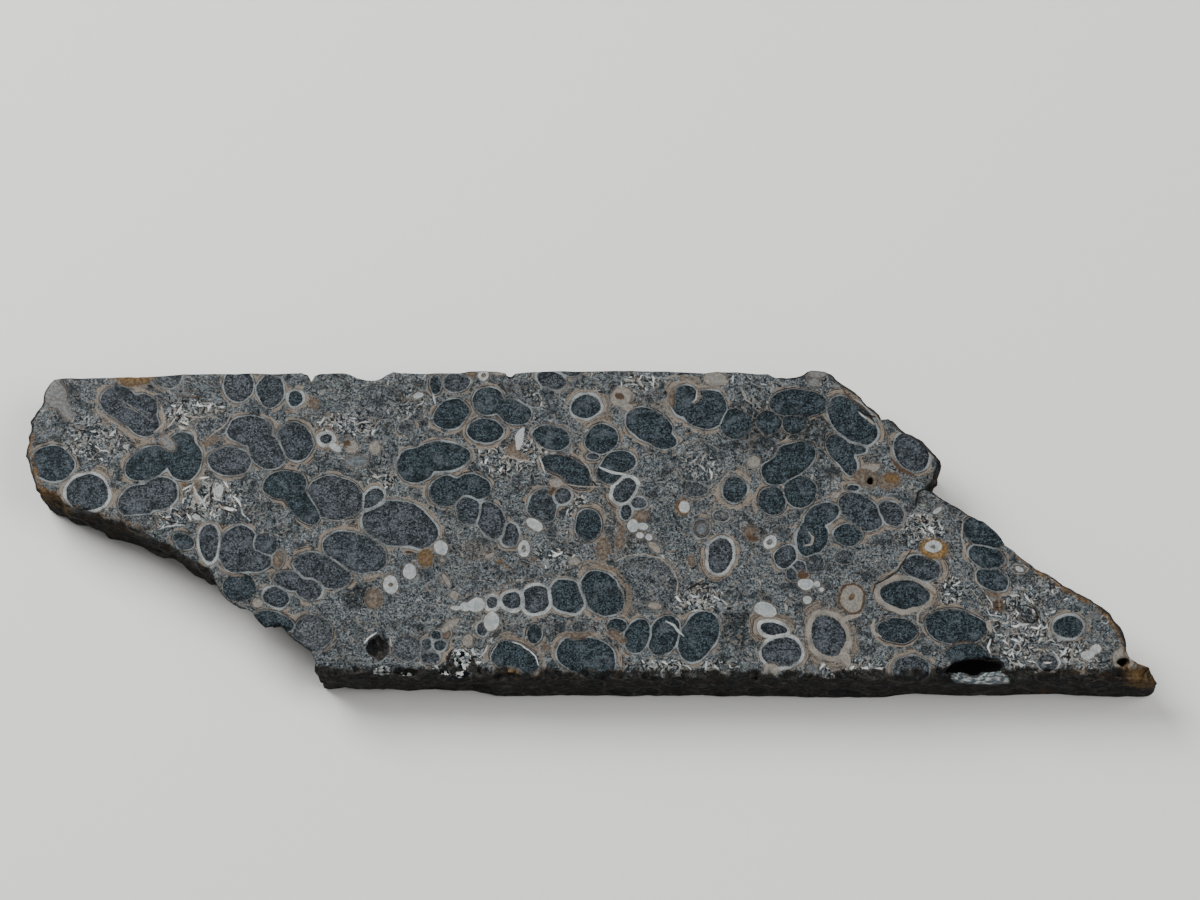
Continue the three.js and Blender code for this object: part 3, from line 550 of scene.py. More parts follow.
class SlabColours(bpy.types.PropertyGroup):
    """Colours of the stone and of the shells in it."""

    fill_low: colour("Dark fill, low", (0.0012, 0.0026, 0.0036), "Darkest grains in a dark chamber")
    fill_high: colour("Dark fill, high", (0.049, 0.071, 0.082), "Palest grains in a dark chamber")
    grey_low: colour("Grey fill, low", (0.003, 0.005, 0.0066), "Darkest grains in a grey chamber")
    grey_high: colour("Grey fill, high", (0.085, 0.095, 0.108), "Palest grains in a grey chamber")
    stone_low: colour("Stone, low", (0.0035, 0.006, 0.0078), "Darkest grains of the stone")
    stone_mid: colour("Stone", (0.034, 0.043, 0.049), "The stone between the shells")
    stone_high: colour("Stone, high", (0.164, 0.182, 0.19), "Palest grains of the stone")
    rim: colour("Shell rim", (0.15, 0.168, 0.174), "The pale line round each chamber")
    wall: colour("Shell wall", (0.142, 0.119, 0.095), "The tan shell layers outside the rim")
    wall_dark: colour("Shell wall, dark", (0.019, 0.015, 0.0125), "The brown lines in the shell layers")
    white: colour("White shell", (0.266, 0.283, 0.279), "Solid white shell")
    cream: colour("Cream shell", (0.17, 0.155, 0.132), "Cream shell fragments")
    spot_grey: colour("Grey shell", (0.086, 0.103, 0.113), "Blue grey shell fragments")
    tan: colour("Tan shell", (0.105, 0.084, 0.064), "Tan shell and patches")
    honey: colour("Honey shell", (0.108, 0.067, 0.027), "Honey coloured shell")
    amber: colour("Amber shell", (0.17, 0.1, 0.032), "The brightest honey coloured shell")
    brown: colour("Brown stain", (0.05, 0.028, 0.014), "Rusty patches")
    # Partly the real white of quartz and slivers, partly painted glints
    bright: colour("Bright shell", (0.44, 0.45, 0.43), "White quartz and the brightest slivers")
    # Black for cracks, and painted shade deep in the pits and holes
    black: colour("Cracks", (0.001, 0.001, 0.001), "Open cracks and deep pits")
    # The sides' own brown-black, made darker still as painted shade
    rind_and_shade: colour("Rind", (0.011, 0.0105, 0.0095), "The broken sides")
    rind_pale: colour("Rind, pale", (0.062, 0.055, 0.046), "Pale crumbs on the broken sides")


class StageSettings(bpy.types.PropertyGroup):
    """Camera, floor and lights."""

    elevation: angle("Elevation", 70, "Camera angle above the horizontal")
    distance: length("Distance", 0.64, "Camera to the point it looks at")
    lens: bpy.props.FloatProperty(name="Lens", description="Focal length in millimetres", default=120.0)
    look_at: bpy.props.FloatVectorProperty(
        name="Look at", description="The point in the middle of the picture", size=3, subtype="TRANSLATION",
        default=(0.00197, 0.01235, 0.01))
    floor_size: length("Floor", 6.0, "Side of the floor")
    floor_colour: colour("Floor colour", (0.62, 0.615, 0.6), "The plain pale floor")
    key_power: bpy.props.FloatProperty(name="Key light", description="Power in watts", default=14.0)
    fill_power: bpy.props.FloatProperty(name="Fill light", description="Power in watts", default=6.0)
    sky: bpy.props.FloatProperty(name="Sky", description="Strength of the even light", default=0.35)


# Shader maths


class Wire:
    """A value on its way through a material, with Python's arithmetic."""

    def __init__(self, bench, socket):
        self.bench = bench
        self.socket = socket

    def _with(self, operation, other, swap=False):
        pair = (other, self) if swap else (self, other)
        return self.bench.maths(operation, *pair)

    def __add__(self, other):
        return self._with("ADD", other)

    def __radd__(self, other):
        return self._with("ADD", other, swap=True)

    def __sub__(self, other):
        return self._with("SUBTRACT", other)

    def __rsub__(self, other):
        return self._with("SUBTRACT", other, swap=True)

    def __mul__(self, other):
        return self._with("MULTIPLY", other)

    def __rmul__(self, other):
        return self._with("MULTIPLY", other, swap=True)

    def __truediv__(self, other):
        return self._with("DIVIDE", other)

    def __abs__(self):
        return self.bench.maths("ABSOLUTE", self)


class Bench:
    """Makes and wires the nodes of one material."""

    def __init__(self, name):
        self.material = bpy.data.materials.new(name)
        self.material.use_nodes = True
        self.tree = self.material.node_tree
        self.shader = self.tree.nodes["Principled BSDF"]

    def node(self, kind, output=0, settings=None, **sockets):
        """Adds a node. Its sockets are given by name, or by number as i0, i1 and so on."""
        made = self.tree.nodes.new(kind)
        for key, value in (settings or {}).items():
            if key == "stops":
                while len(made.color_ramp.elements) < len(value):
                    made.color_ramp.elements.new(1.0)
                for element, (position, shade) in zip(made.color_ramp.elements, value):
                    element.position = position
                    element.color = (*shade, 1.0)
            else:
                setattr(made, key, value)
        for key, value in sockets.items():
            self.feed(made.inputs[int(key[1:]) if key[1:].isdigit() else key], value)
        return Wire(self, made.outputs[output])

    def feed(self, socket, value):
        if isinstance(value, Wire):
            self.tree.links.new(value.socket, socket)
        elif isinstance(value, tuple) and len(value) == 3 and len(socket.default_value) == 4:
            socket.default_value = (*value, 1.0)
        else:
            socket.default_value = value

    def maths(self, operation, *values):
        return self.node("ShaderNodeMath", settings={"operation": operation},
                         **{f"i{k}": value for k, value in enumerate(values)})

    def ease(self, value, low, high):
        """0 below low, 1 above high, and smooth between them. High may be the smaller."""
        return self.node("ShaderNodeMapRange", settings={"interpolation_type": "SMOOTHSTEP"},
                         i0=value, i1=low, i2=high)

    def blend(self, amount, first, second):
        """The first colour where the amount is 0, the second where it is 1."""
        return self.node("ShaderNodeMix", output=2, settings={"data_type": "RGBA"},
                         i0=amount, i6=first, i7=second)

    def ramp(self, value, stops):
        return self.node("ShaderNodeValToRGB", settings={"stops": stops}, i0=value)

    def attribute(self, name):
        return self.node("ShaderNodeAttribute", output=2, settings={"attribute_name": name})

    def place(self):
        """Object coordinates in millimetres."""
        return self.scaled(self.node("ShaderNodeTexCoord", output=3), 1 / MM)

    def vector(self, operation, first, second):
        return self.node("ShaderNodeVectorMath", settings={"operation": operation}, i0=first, i1=second)

    def scaled(self, vector, by):
        return self.vector("MULTIPLY", vector, (by, by, by))

    def shifted(self, vector, by):
        return self.vector("ADD", vector, by)

    def noise(self, vector, scale, detail, roughness):
        return self.node("ShaderNodeTexNoise", Vector=vector, Scale=scale, Detail=detail, Roughness=roughness)

    def cells(self, vector, scale, output=0):
        return self.node("ShaderNodeTexVoronoi", output=output, Vector=vector, Scale=scale)

    def apart(self, vector):
        """The X and Y of a vector."""
        split = self.node("ShaderNodeSeparateXYZ", i0=vector)
        return split, Wire(self, split.socket.node.outputs[1])

    def fragments(self, vector, cell, long, thin, bow):
        """Slivers of shell, one to a cell, each turned its own way: how much of one is here, and its tint."""
        cells = self.cells(vector, 1.0 / cell)
        nodes = cells.socket.node.outputs
        own, own_two = self.apart(Wire(self, nodes[1]))
        dx, dy = self.apart(self.vector("SUBTRACT", vector, Wire(self, nodes[2])))
        turn = own * FULL_TURN
        cos, sin = self.maths("COSINE", turn), self.maths("SINE", turn)
        along = dx * cos + dy * sin
        across = dy * cos - dx * sin + along * along * bow * (own_two - 0.5)
        half = thin * (1.25 - along * along / (long * long))
        body = self.ease(abs(across) - half, 0.0, -0.5 * thin)
        return self.ease(abs(along) - long * (0.4 + 0.6 * own), 0.06, -0.02) * body, own_two

    def bump(self, height, distance, strength, **sockets):
        return self.node("ShaderNodeBump", Height=height, Distance=distance, Strength=strength, **sockets)

    def set(self, name, value):
        self.feed(self.shader.inputs[name], value)


# The pattern in the stone, worked out at every point of the mesh


def cell_value(x, y, z):
    """A number from 0 to 1 that jumps about from one whole point to the next, the same on every run."""
    value = np.sin(x * 127.1 + y * 311.7 + z * 74.7) * 43758.5453
    return value - np.floor(value)


def value_noise(points, size):
    """Smooth noise from -1 to 1 with lumps of the given size, the same on every run."""
    scaled = points / size
    corner = np.floor(scaled)
    part = scaled - corner
    part = part * part * (3 - 2 * part)
    total = np.zeros(len(points))
    for dx in (0, 1):
        for dy in (0, 1):
            for dz in (0, 1):
                weight = np.ones(len(points))
                for axis, step in enumerate((dx, dy, dz)):
                    weight *= part[:, axis] if step else 1 - part[:, axis]
                total += weight * cell_value(corner[:, 0] + dx, corner[:, 1] + dy, corner[:, 2] + dz)
    return 2 * total - 1


def oval_gap(points, oval):
    """Distance in millimetres to the surface of an ellipsoid that the upper face cuts in half."""
    turn = math.radians(oval.turn)
    dx = points[:, 0] - oval.x
    dy = points[:, 1] - oval.y
    local = np.stack([
        dx * math.cos(turn) + dy * math.sin(turn),
        dy * math.cos(turn) - dx * math.sin(turn),
        points[:, 2] - THICKNESS,
    ], axis=1)
    radii = np.array([oval.long, oval.wide, min(oval.long, oval.wide) * 1.05])
    near = np.linalg.norm(local / radii, axis=1)
    slope = np.linalg.norm(local / radii ** 2, axis=1)
    return near * (near - 1) / np.maximum(slope, 1e-6)


def streak_gap(points, streak):
    """Distance in millimetres to a sliver of shell that tapers to its ends, negative inside it."""
    corners = np.array([[*point, THICKNESS] for point in streak.points])
    lengths = np.linalg.norm(np.diff(corners, axis=0), axis=1)
    best = np.full(len(points), FAR)
    passed = 0.0
    for a, b, length in zip(corners, corners[1:], lengths):
        along = b - a
        t = np.clip((points - a) @ along / (length * length), 0, 1)
        away = np.linalg.norm((points - a - t[:, None] * along) * (1, 1, 0.5), axis=1)
        taper = 0.45 + 0.55 * np.sin(np.pi * (passed + t * length) / lengths.sum())
        best = np.minimum(best, away - taper * streak.width / 2)
        passed += length
    return best


def nearby(points, x, y, reach):
    """Numbers of the points in a square round x and y that are high enough to meet a shell there."""
    inside = (abs(points[:, 0] - x) < reach) & (abs(points[:, 1] - y) < reach)
    return np.flatnonzero(inside & (points[:, 2] > LOWEST_SHELL))


def merged(first, second, soft=0.5):
    """The lower of two distances, with a rounded inner corner."""
    mix = np.clip(0.5 + 0.5 * (second - first) / soft, 0, 1)
    return second + (first - second) * mix - soft * mix * (1 - mix)


def chamber_groups():
    """The chambers in groups that open into each other."""
    groups = []
    for chamber in CHAMBERS:
        if chamber.joined:
            groups[-1].append(chamber)
        else:
            groups.append([chamber])
    return groups


def lay_chambers(field, points):
    """Enters how far each point is from the nearest shell's filling, and that shell's rim, wall and tone."""
    rank = np.full(len(points), FAR)
    next_rank = rank.copy()
    for number, group in enumerate(chamber_groups()):
        first = group[0]
        reach = max(max(abs(c.x - first.x), abs(c.y - first.y)) + c.long for c in group) + ROUND_CHAMBER
        index = nearby(points, first.x, first.y, reach)
        gap = reduce(merged, [oval_gap(points[index], c) for c in group])
        here = gap - 0.6 * first.rim
        wins = here < rank[index]
        next_rank[index] = np.minimum(next_rank[index], np.maximum(here, rank[index]))
        chosen = index[wins]
        rank[chosen] = here[wins]
        field["gap"][chosen] = gap[wins]
        field["rim"][chosen] = first.rim
        field["wall"][chosen] = first.wall
        field["tone"][chosen] = FILL_TONES[first.fill] + 0.16 * math.sin(number * 2.4)
    # Where two shells touch, a wall as thick as the rim is left between their fillings
    septum = field["rim"] * 0.5 - (next_rank - rank) / 2
    field["gap"] = np.maximum(field["gap"], np.where(field["gap"] < 0, septum, -FAR))


def lay_spots(field, points):
    """Enters how far each point is from the nearest spot, and the tint of the spot that is on top there."""
    for spot in SPOTS:
        index = nearby(points, spot.x, spot.y, max(spot.long, spot.wide) + ROUND_MARK)
        gap = oval_gap(points[index], spot)
        wins = (gap < 0) | (gap < field["spot_gap"][index])
        chosen = index[wins]
        field["spot_gap"][chosen] = gap[wins]
        field["spot_tint"][chosen] = SPOT_TINTS[spot.colour]


def lay_streaks(field, points):
    """Enters how far each point is from the nearest streak, and that streak's tint."""
    for streak in STREAKS:
        middle = np.mean(streak.points, axis=0)
        reach = np.abs(np.array(streak.points) - middle).max() + ROUND_MARK
        index = nearby(points, *middle, reach)
        gap = streak_gap(points[index], streak)
        wins = gap < field["streak_gap"][index]
        chosen = index[wins]
        field["streak_gap"][chosen] = gap[wins]
        field["streak_tint"][chosen] = STREAK_TINTS[streak.colour]


def shell_pattern(points):
    """The upper face's pattern at points in millimetres: distances to shells, tones and kinds of place."""
    bent = points
    for height, size, for_x, for_y in WAVES:
        bent = bent + height * np.stack([
            value_noise(points + for_x, size), value_noise(points + for_y, size), np.zeros(len(points)),
        ], axis=1)
    field = {key: np.full(len(points), FAR) for key in ("gap", "spot_gap", "streak_gap")}
    field.update({key: np.zeros(len(points)) for key in ("rim", "wall", "tone", "spot_tint", "streak_tint")})
    lay_chambers(field, bent)
    lay_spots(field, bent)
    lay_streaks(field, bent)
    for key, zones in ZONES.items():
        field[key] = zone_sum(bent, zones)
    return field


def zone_sum(points, zones):
    """How strongly each point belongs to a kind of place, from -1 to 1."""
    total = np.zeros(len(points))
    ragged = 0.25 * value_noise(points, 1.6)
    for x, y, reach_x, reach_y, strength in zones:
        far = np.hypot((points[:, 0] - x) / reach_x, (points[:, 1] - y) / reach_y)
        total += strength * np.clip((1.15 + ragged - far) / 0.5, 0, 1)
    return np.clip(total, -1, 1)


# Pieces


def only(item):
    """Selects one object alone and makes it the active one."""
    bpy.ops.object.select_all(action="DESELECT")
    item.select_set(True)
    bpy.context.view_layer.objects.active = item


def cut_lattice(low, high, spacing):
    """Cuts the whole mesh by upright planes along X and along Y."""
    for axis in (0, 1):
        normal = (1, 0, 0) if axis == 0 else (0, 1, 0)
        at = math.ceil(low[axis] / spacing) * spacing
        while at < high[axis]:
            bpy.ops.mesh.select_all(action="SELECT")
            bpy.ops.mesh.bisect(plane_co=tuple(at * n for n in normal), plane_no=normal)
            at += spacing


def both_above(edge):
    """True where both ends of a mesh edge lie on the upper face."""
    return all(v.co.z > THICKNESS * MM - ON_FACE for v in edge.verts)


def both_below(edge):
    """True where both ends of a mesh edge lie on the lower face."""
    return all(v.co.z < ON_FACE for v in edge.verts)


def longest_wanted(edge, sizes):
    """How long a mesh edge may stay, from where it lies."""
    if both_above(edge):
        return sizes.upper_edge
    if both_below(edge):
        return sizes.under_edge
    return sizes.side_edge


def to_triangles():
    """Cuts every face of the mesh in edit mode into triangles."""
    bpy.ops.mesh.select_all(action="SELECT")
    bpy.ops.mesh.quads_convert_to_tris(quad_method="BEAUTY", ngon_method="BEAUTY")


def split_edges(slab, wanted):
    """Halves the edges that `wanted` picks, makes triangles again, and returns how many it picked."""
    work = bmesh.from_edit_mesh(slab.data)
    bpy.ops.mesh.select_all(action="DESELECT")
    picked = wanted(work.edges)
    for edge in picked:
        edge.select_set(True)
    bmesh.update_edit_mesh(slab.data)
    if picked:
        bpy.ops.mesh.subdivide(number_cuts=1)
        to_triangles()
    return len(picked)


def refine(slab, sizes):
    """Halves the edges that are too long, and then those above that a shell's outline bends across."""
    def too_long(edges):
        return [e for e in edges if e.calc_length() > longest_wanted(e, sizes)]

    for _ in range(LENGTH_ROUNDS):
        if not split_edges(slab, too_long):
            break

    def bent_across(edges):
        upper = [e for e in edges if both_above(e) and e.calc_length() > sizes.least_edge]
        ends = np.array([[*e.verts[0].co, *e.verts[1].co] for e in upper]) / MM
        first, last = shell_pattern(ends[:, :3]), shell_pattern(ends[:, 3:])
        middle = shell_pattern((ends[:, :3] + ends[:, 3:]) / 2)
        off = np.zeros(len(upper))
        for key, (low, high) in OUTLINE_BANDS.items():
            lowest = np.minimum(np.minimum(first[key], last[key]), middle[key])
            highest = np.maximum(np.maximum(first[key], last[key]), middle[key])
            near = (lowest < high) & (highest > low)
            off = np.maximum(off, np.where(near, abs(middle[key] - (first[key] + last[key]) / 2), 0))
        return [e for e, error in zip(upper, off) if error > sizes.outline_error / MM]

    for _ in range(OUTLINE_ROUNDS):
        split_edges(slab, bent_across)


def cut_fine(slab, sizes):
    """Merges the loose triangles, clears the sawn faces and cuts the slab fine enough for its pattern."""
    low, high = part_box(NODE)
    bpy.ops.object.mode_set(mode="EDIT")
    bpy.ops.mesh.select_mode(type="VERT")
    bpy.ops.mesh.select_all(action="SELECT")
    bpy.ops.mesh.remove_doubles(threshold=SAME_POINT)
    bpy.ops.mesh.select_mode(type="FACE")
    bpy.ops.mesh.select_all(action="DESELECT")
    work = bmesh.from_edit_mesh(slab.data)
    for face in work.faces:
        face.select_set(abs(face.normal.z) > LEVEL)
    bmesh.update_edit_mesh(slab.data)
    bpy.ops.mesh.dissolve_limited(angle_limit=FLAT_ANGLE)
    bpy.ops.mesh.select_mode(type="EDGE")
    cut_lattice(low, high, sizes.lattice)
    to_triangles()
    refine(slab, sizes)
    bpy.ops.mesh.select_all(action="SELECT")
    bpy.ops.mesh.dissolve_degenerate(threshold=SLIVER)
    to_triangles()
    bpy.ops.object.mode_set(mode="OBJECT")


def weigh(slab, name, weights):
    """Makes a vertex group of the weights above zero."""
    group = slab.vertex_groups.new(name=name)
    for index in np.flatnonzero(weights > 0):
        group.add([int(index)], float(weights[index]), "REPLACE")
    return group.name


def displace(slab, group, name, size, strength, axis="NORMAL", middle=0.5, contrast=1.0, brightness=1.0):
    """Pushes part of the slab in and out by a soft cloud pattern, and applies it."""
    texture = bpy.data.textures.new(name, "CLOUDS")
    texture.contrast = contrast
    texture.intensity = brightness
    texture.use_clamp = True
    texture.noise_scale = size
    texture.noise_depth = 2
    push = slab.modifiers.new(name, "DISPLACE")
    push.texture = texture
    push.texture_coords = "LOCAL"
    push.vertex_group = group
    push.direction = axis
    push.strength = strength
    push.mid_level = middle
    bpy.ops.object.modifier_apply(modifier=push.name)


def points_of(mesh):
    """Places of the mesh's vertices, in metres."""
    flat = np.empty(len(mesh.vertices) * 3)
    mesh.vertices.foreach_get("co", flat)
    return flat.reshape(-1, 3)


def border_gaps(mesh):
    """Distance in millimetres from every vertex to the nearest edge of the sawn face on its own side."""
    work = bmesh.new()
    work.from_mesh(mesh)
    corners = []
    for edge in work.edges:
        if (both_above(edge) or both_below(edge)) and edge.calc_face_angle(0) > RIDGE_ANGLE:
            corners.extend(v.co.copy() for v in edge.verts)
    tree = KDTree(len(corners))
    for index, corner in enumerate(corners):
        tree.insert(corner, index)
    tree.balance()
    gaps = [tree.find(v.co)[2] / MM for v in work.verts]
    work.free()
    return np.array(gaps)


def broken_weight(mesh):
    """1 on the broken and rough walls, 0 on the sawn faces."""
    height = points_of(mesh)[:, 2] / MM
    return np.clip((THICKNESS - height) / BROKEN_FADE, 0, 1) * np.clip(height / BROKEN_FADE, 0, 1)


def chip_weight(mesh, gaps):
    """1 along the front edge of the upper face, fading out over the sawn face and down the wall."""
    points = points_of(mesh) / MM
    near = np.clip(1 - gaps / CHIP_REACH, 0, 1)
    return near * (points[:, 2] > THICKNESS - CHIP_REACH) * (points[:, 1] < FRONT_EDGE)


def break_up(slab, sizes):
    """Roughens the broken sides and takes chips out of the front edge."""
    gaps = border_gaps(slab.data)
    write(slab.data, "border", gaps)
    broken = weigh(slab, "broken", broken_weight(slab.data))
    chipped = weigh(slab, "chipped", chip_weight(slab.data, gaps))
    displace(slab, broken, "lumps", sizes.lump_spread, sizes.lump)
    displace(slab, broken, "grit", sizes.grit_spread, sizes.grit)
    displace(slab, chipped, "chips", sizes.chip_spread, -sizes.chip, axis="Z", middle=0.0,
             contrast=2.2, brightness=0.9)


def write(mesh, name, values):
    """Stores one number for each vertex."""
    layer = mesh.attributes.new(name, "FLOAT", "POINT")
    layer.data.foreach_set("value", np.ascontiguousarray(values, dtype=np.float32))


def paint(slab):
    """Writes the pattern into the mesh: the upper face's above, and the same turned round below."""
    points = points_of(slab.data) / MM
    turned = points.copy()
    turned[:, :2] *= -1
    turned[:, 2] = THICKNESS - points[:, 2]
    above = shell_pattern(points)
    below = shell_pattern(turned)
    upper = points[:, 2] > THICKNESS / 2
    for key, values in above.items():
        write(slab.data, key, np.where(upper, values, 0 if key in UPPER_ONLY else below[key]))
    depth = THICKNESS - points[:, 2]
    write(slab.data, "depth", np.minimum(depth, points[:, 2]))
    write(slab.data, "pit", pit_shade_mask(points))


def pit_shade_mask(points):
    """1 deep inside the open whorl, the pit and the round holes, where painted shade blackens them."""
    total = np.zeros(len(points))
    for x, y, reach_x, reach_y, strength in HOLLOWS:
        far = np.hypot((points[:, 0] - x) / reach_x, (points[:, 1] - y) / reach_y)
        total = np.maximum(total, strength * np.clip((1.25 - far) / 0.25, 0, 1) * (points[:, 2] > 3))
    return total * np.clip((THICKNESS - points[:, 2]) / 0.8, 0, 1)


# In these functions b is the bench, n has the noises and the mesh's own numbers, and hue the colours


def grain_of(b):
    """The noises that speckle and bend every part of the stone, and the pattern written into the mesh."""
    p = b.place()
    n = SimpleNamespace(p=p)
    n.grain = b.noise(p, 3.4, 3.0, 0.9)
    n.coarse = b.noise(b.shifted(p, (9.0, 4.0, 1.0)), 1.9, 2.0, 0.6)
    n.cloud = b.noise(p, 0.42, 3.0, 0.6)
    n.patch = b.noise(b.shifted(p, (31.0, 7.0, 3.0)), 0.8, 4.0, 0.65)
    n.drift = b.ease(b.noise(b.shifted(p, (7.0, 1.0, 4.0)), 0.45, 1.0, 0.5), 0.34, 0.66)
    n.speck = b.ease(n.grain + (n.coarse - 0.5) * 0.3, 0.43, 0.64)
    sway = b.scaled(b.node("ShaderNodeTexNoise", output=1, Vector=p, Scale=0.9, Detail=1.0), 0.7)
    n.bent = b.shifted(p, sway)
    for name in ("gap", "rim", "wall", "tone", "spot_gap", "spot_tint", "streak_gap", "streak_tint", "depth",
                 "pit", "border", *ZONES):
        setattr(n, name, b.attribute(name))
    return n


def ground(b, n, hue):
    """The stone between the shells: grey grains, warm and dark patches, and shell broken to slivers."""
    stone = b.blend(n.speck, hue.stone_low, hue.stone_high)
    stone = b.blend(0.15, stone, hue.stone_mid)
    warm = b.ease(n.patch, 0.54, 0.72) * 0.45 + b.ease(n.stain, 0.1, 0.9) * 0.42
    stone = b.blend(warm, stone, b.blend(n.speck, hue.wall_dark, hue.tan))
    stone = b.blend(b.ease(n.cloud, 0.56, 0.34) * 0.7, stone, hue.stone_low)
    stone = b.blend(b.ease(n.stain, -0.1, -0.9) * 0.7, stone, hue.fill_low)

    mosaic, mosaic_two = b.apart(b.cells(b.shifted(n.bent, (0.4, 0.2, 0.7)), 1.7, output=1))
    stone = b.blend(b.ease(mosaic, 0.45, 0.0) * (0.35 + 0.5 * n.hash), stone, hue.stone_low)
    stone = b.blend(b.ease(mosaic, 0.72, 1.0) * (0.25 + 0.5 * n.hash), stone,
                    b.blend(b.ease(mosaic_two, 0.6, 0.8), hue.rim, hue.tan))
    shell_shade = b.ramp(n.patch, [(0.38, hue.rim), (0.5, hue.cream), (0.62, hue.tan), (0.7, hue.white)])
    for scale, half, shift, calm, rich in VEINS:
        level = b.noise(b.shifted(n.p, shift), scale, 1.5, 0.5) - 0.5
        patches = b.noise(b.shifted(n.p, shift[::-1]), scale * 0.8, 1.0, 0.5)
        shown = b.ease(patches, 0.5, 0.6) * (calm + rich * n.hash)
        # Painted shadow: a dark line along one side of each pale vein
        stone = b.blend(b.ease(abs(level + half * 2.4), half * 1.7, half * 0.6) * shown, stone, hue.fill_low)
        stone = b.blend(b.ease(abs(level), half, half * 0.4) * shown, stone, shell_shade)
    for cell, long, thin, bow, shift, least, strength in SLIVERS:
        sliver, own = b.fragments(b.shifted(n.bent, (shift, -shift, 0.3 * shift)), cell, long, thin, bow)
        kept = b.ease(own + n.hash * 0.62 + (n.cloud - 0.5) * 0.8, least, least + 0.12)
        # The brightest slivers are partly painted glints
        shade = b.ramp(own, [(0.0, hue.cream), (0.3, hue.white), (0.5, hue.tan), (0.65, hue.bright),
                             (0.82, hue.white), (1.0, hue.cream)])
        stone = b.blend(sliver * kept * strength, stone, shade)
    gash, own = b.fragments(b.shifted(n.bent, (5.0, 17.0, 2.0)), 1.1, 0.5, 0.14, 1.5)
    return b.blend(gash * b.ease(own + n.hash * 0.6, 0.75, 0.9) * 0.9, stone, hue.fill_low)


def chambers(b, n, hue, stone):
    """The cut shells: dark speckled filling, a pale granular rim and layered tan walls, over the stone."""
    fill = b.blend(b.ease(n.tone, 0.0, 0.75), b.blend(n.speck, hue.fill_low, hue.fill_high),
                   b.blend(n.speck, hue.grey_low, hue.grey_high))
    fill = b.blend(b.ease(n.patch, 0.53, 0.37) * 0.62, fill, hue.fill_low)
    fill = b.blend(b.ease(n.cloud + (n.patch - 0.5) * 0.5, 0.5, 0.7) * 0.28, fill, hue.grey_high)
    fill = b.blend(b.ease(n.tone, 0.72, 1.0) * 0.8, fill, stone)
    # Painted shade: the filling is darker just inside the rim
    fill = b.blend(b.ease(n.gap, -0.9, -0.15) * 0.35, fill, hue.fill_low)

    inner = n.gap + (n.coarse - 0.5) * 0.14 + (n.grain - 0.5) * 0.12
    line_width = n.rim * 0.8 - 0.12 + 0.17 * n.drift
    outer = n.gap + (n.coarse - 0.5) * 0.1 - line_width
    swell = b.ease(b.noise(b.shifted(n.p, (2.0, 2.0, 8.0)), 0.36, 1.0, 0.5), 0.32, 0.68)
    thick = n.wall * (0.15 + 1.7 * swell)
    far = outer - thick
    shown = b.ease(n.tone, 1.05, 0.7)

    across = b.node("ShaderNodeCombineXYZ", X=n.gap * 5.0, Y=n.patch * 1.3, Z=n.cloud * 2.0)
    layers = b.blend(b.ease(b.noise(across, 1.0, 2.0, 0.6), 0.42, 0.58), hue.wall_dark, hue.wall)
    layers = b.blend(b.ease(n.wall, 0.55, 0.95) * b.ease(n.grain, 0.42, 0.6) * 0.5, layers, hue.cream)
    layers = b.blend(b.ease(n.grain, 0.5, 0.36) * 0.35, layers, hue.wall_dark)
    layers = b.blend(b.ease(outer, 0.16, 0.02) * 0.55, layers, hue.wall_dark)

    loose = b.ease(b.noise(b.shifted(n.p, (5.0, 13.0, 2.0)), 0.22, 1.0, 0.5), 0.5, 0.62)
    edge = loose * 0.55 + 0.05
    body = b.blend(b.ease(inner, edge * -1.0, edge), fill, stone)
    wall_shown = (0.3 + 0.6 * shown) * b.ease(n.patch + (n.drift - 0.5) * 0.25, 0.3, 0.5)
    body = b.blend(b.ease(far, 0.12, -0.08) * b.ease(inner, -0.02, 0.04) * wall_shown, body, layers)
    body = b.blend(b.ease(abs(far), 0.1, 0.0) * b.ease(n.coarse, 0.45, 0.6) * 0.55 * shown, body, hue.cream)
    pale = b.ease(inner, -0.08, 0.05) * b.ease(outer, 0.05, -0.03)
    rim_shade = b.blend(b.ease(n.rim, 0.4, 0.7), hue.rim, hue.white)
    rim_shade = b.blend(b.ease(n.rim, 0.8, 1.1), rim_shade, hue.cream)
    rim_shade = b.blend(b.ease(n.grain, 0.52, 0.36) * 0.45, rim_shade, hue.spot_grey)
    seen = (0.35 + 0.65 * b.ease(n.rim, 0.08, 0.35)) * (0.06 + 0.36 * shown + 0.58 * n.drift)
    seen = seen * (0.6 + 0.4 * b.ease(n.grain, 0.36, 0.52)) * (1.0 - 0.6 * loose * b.ease(n.rim, 0.5, 0.35))
    return b.blend(pale * seen, body, rim_shade)


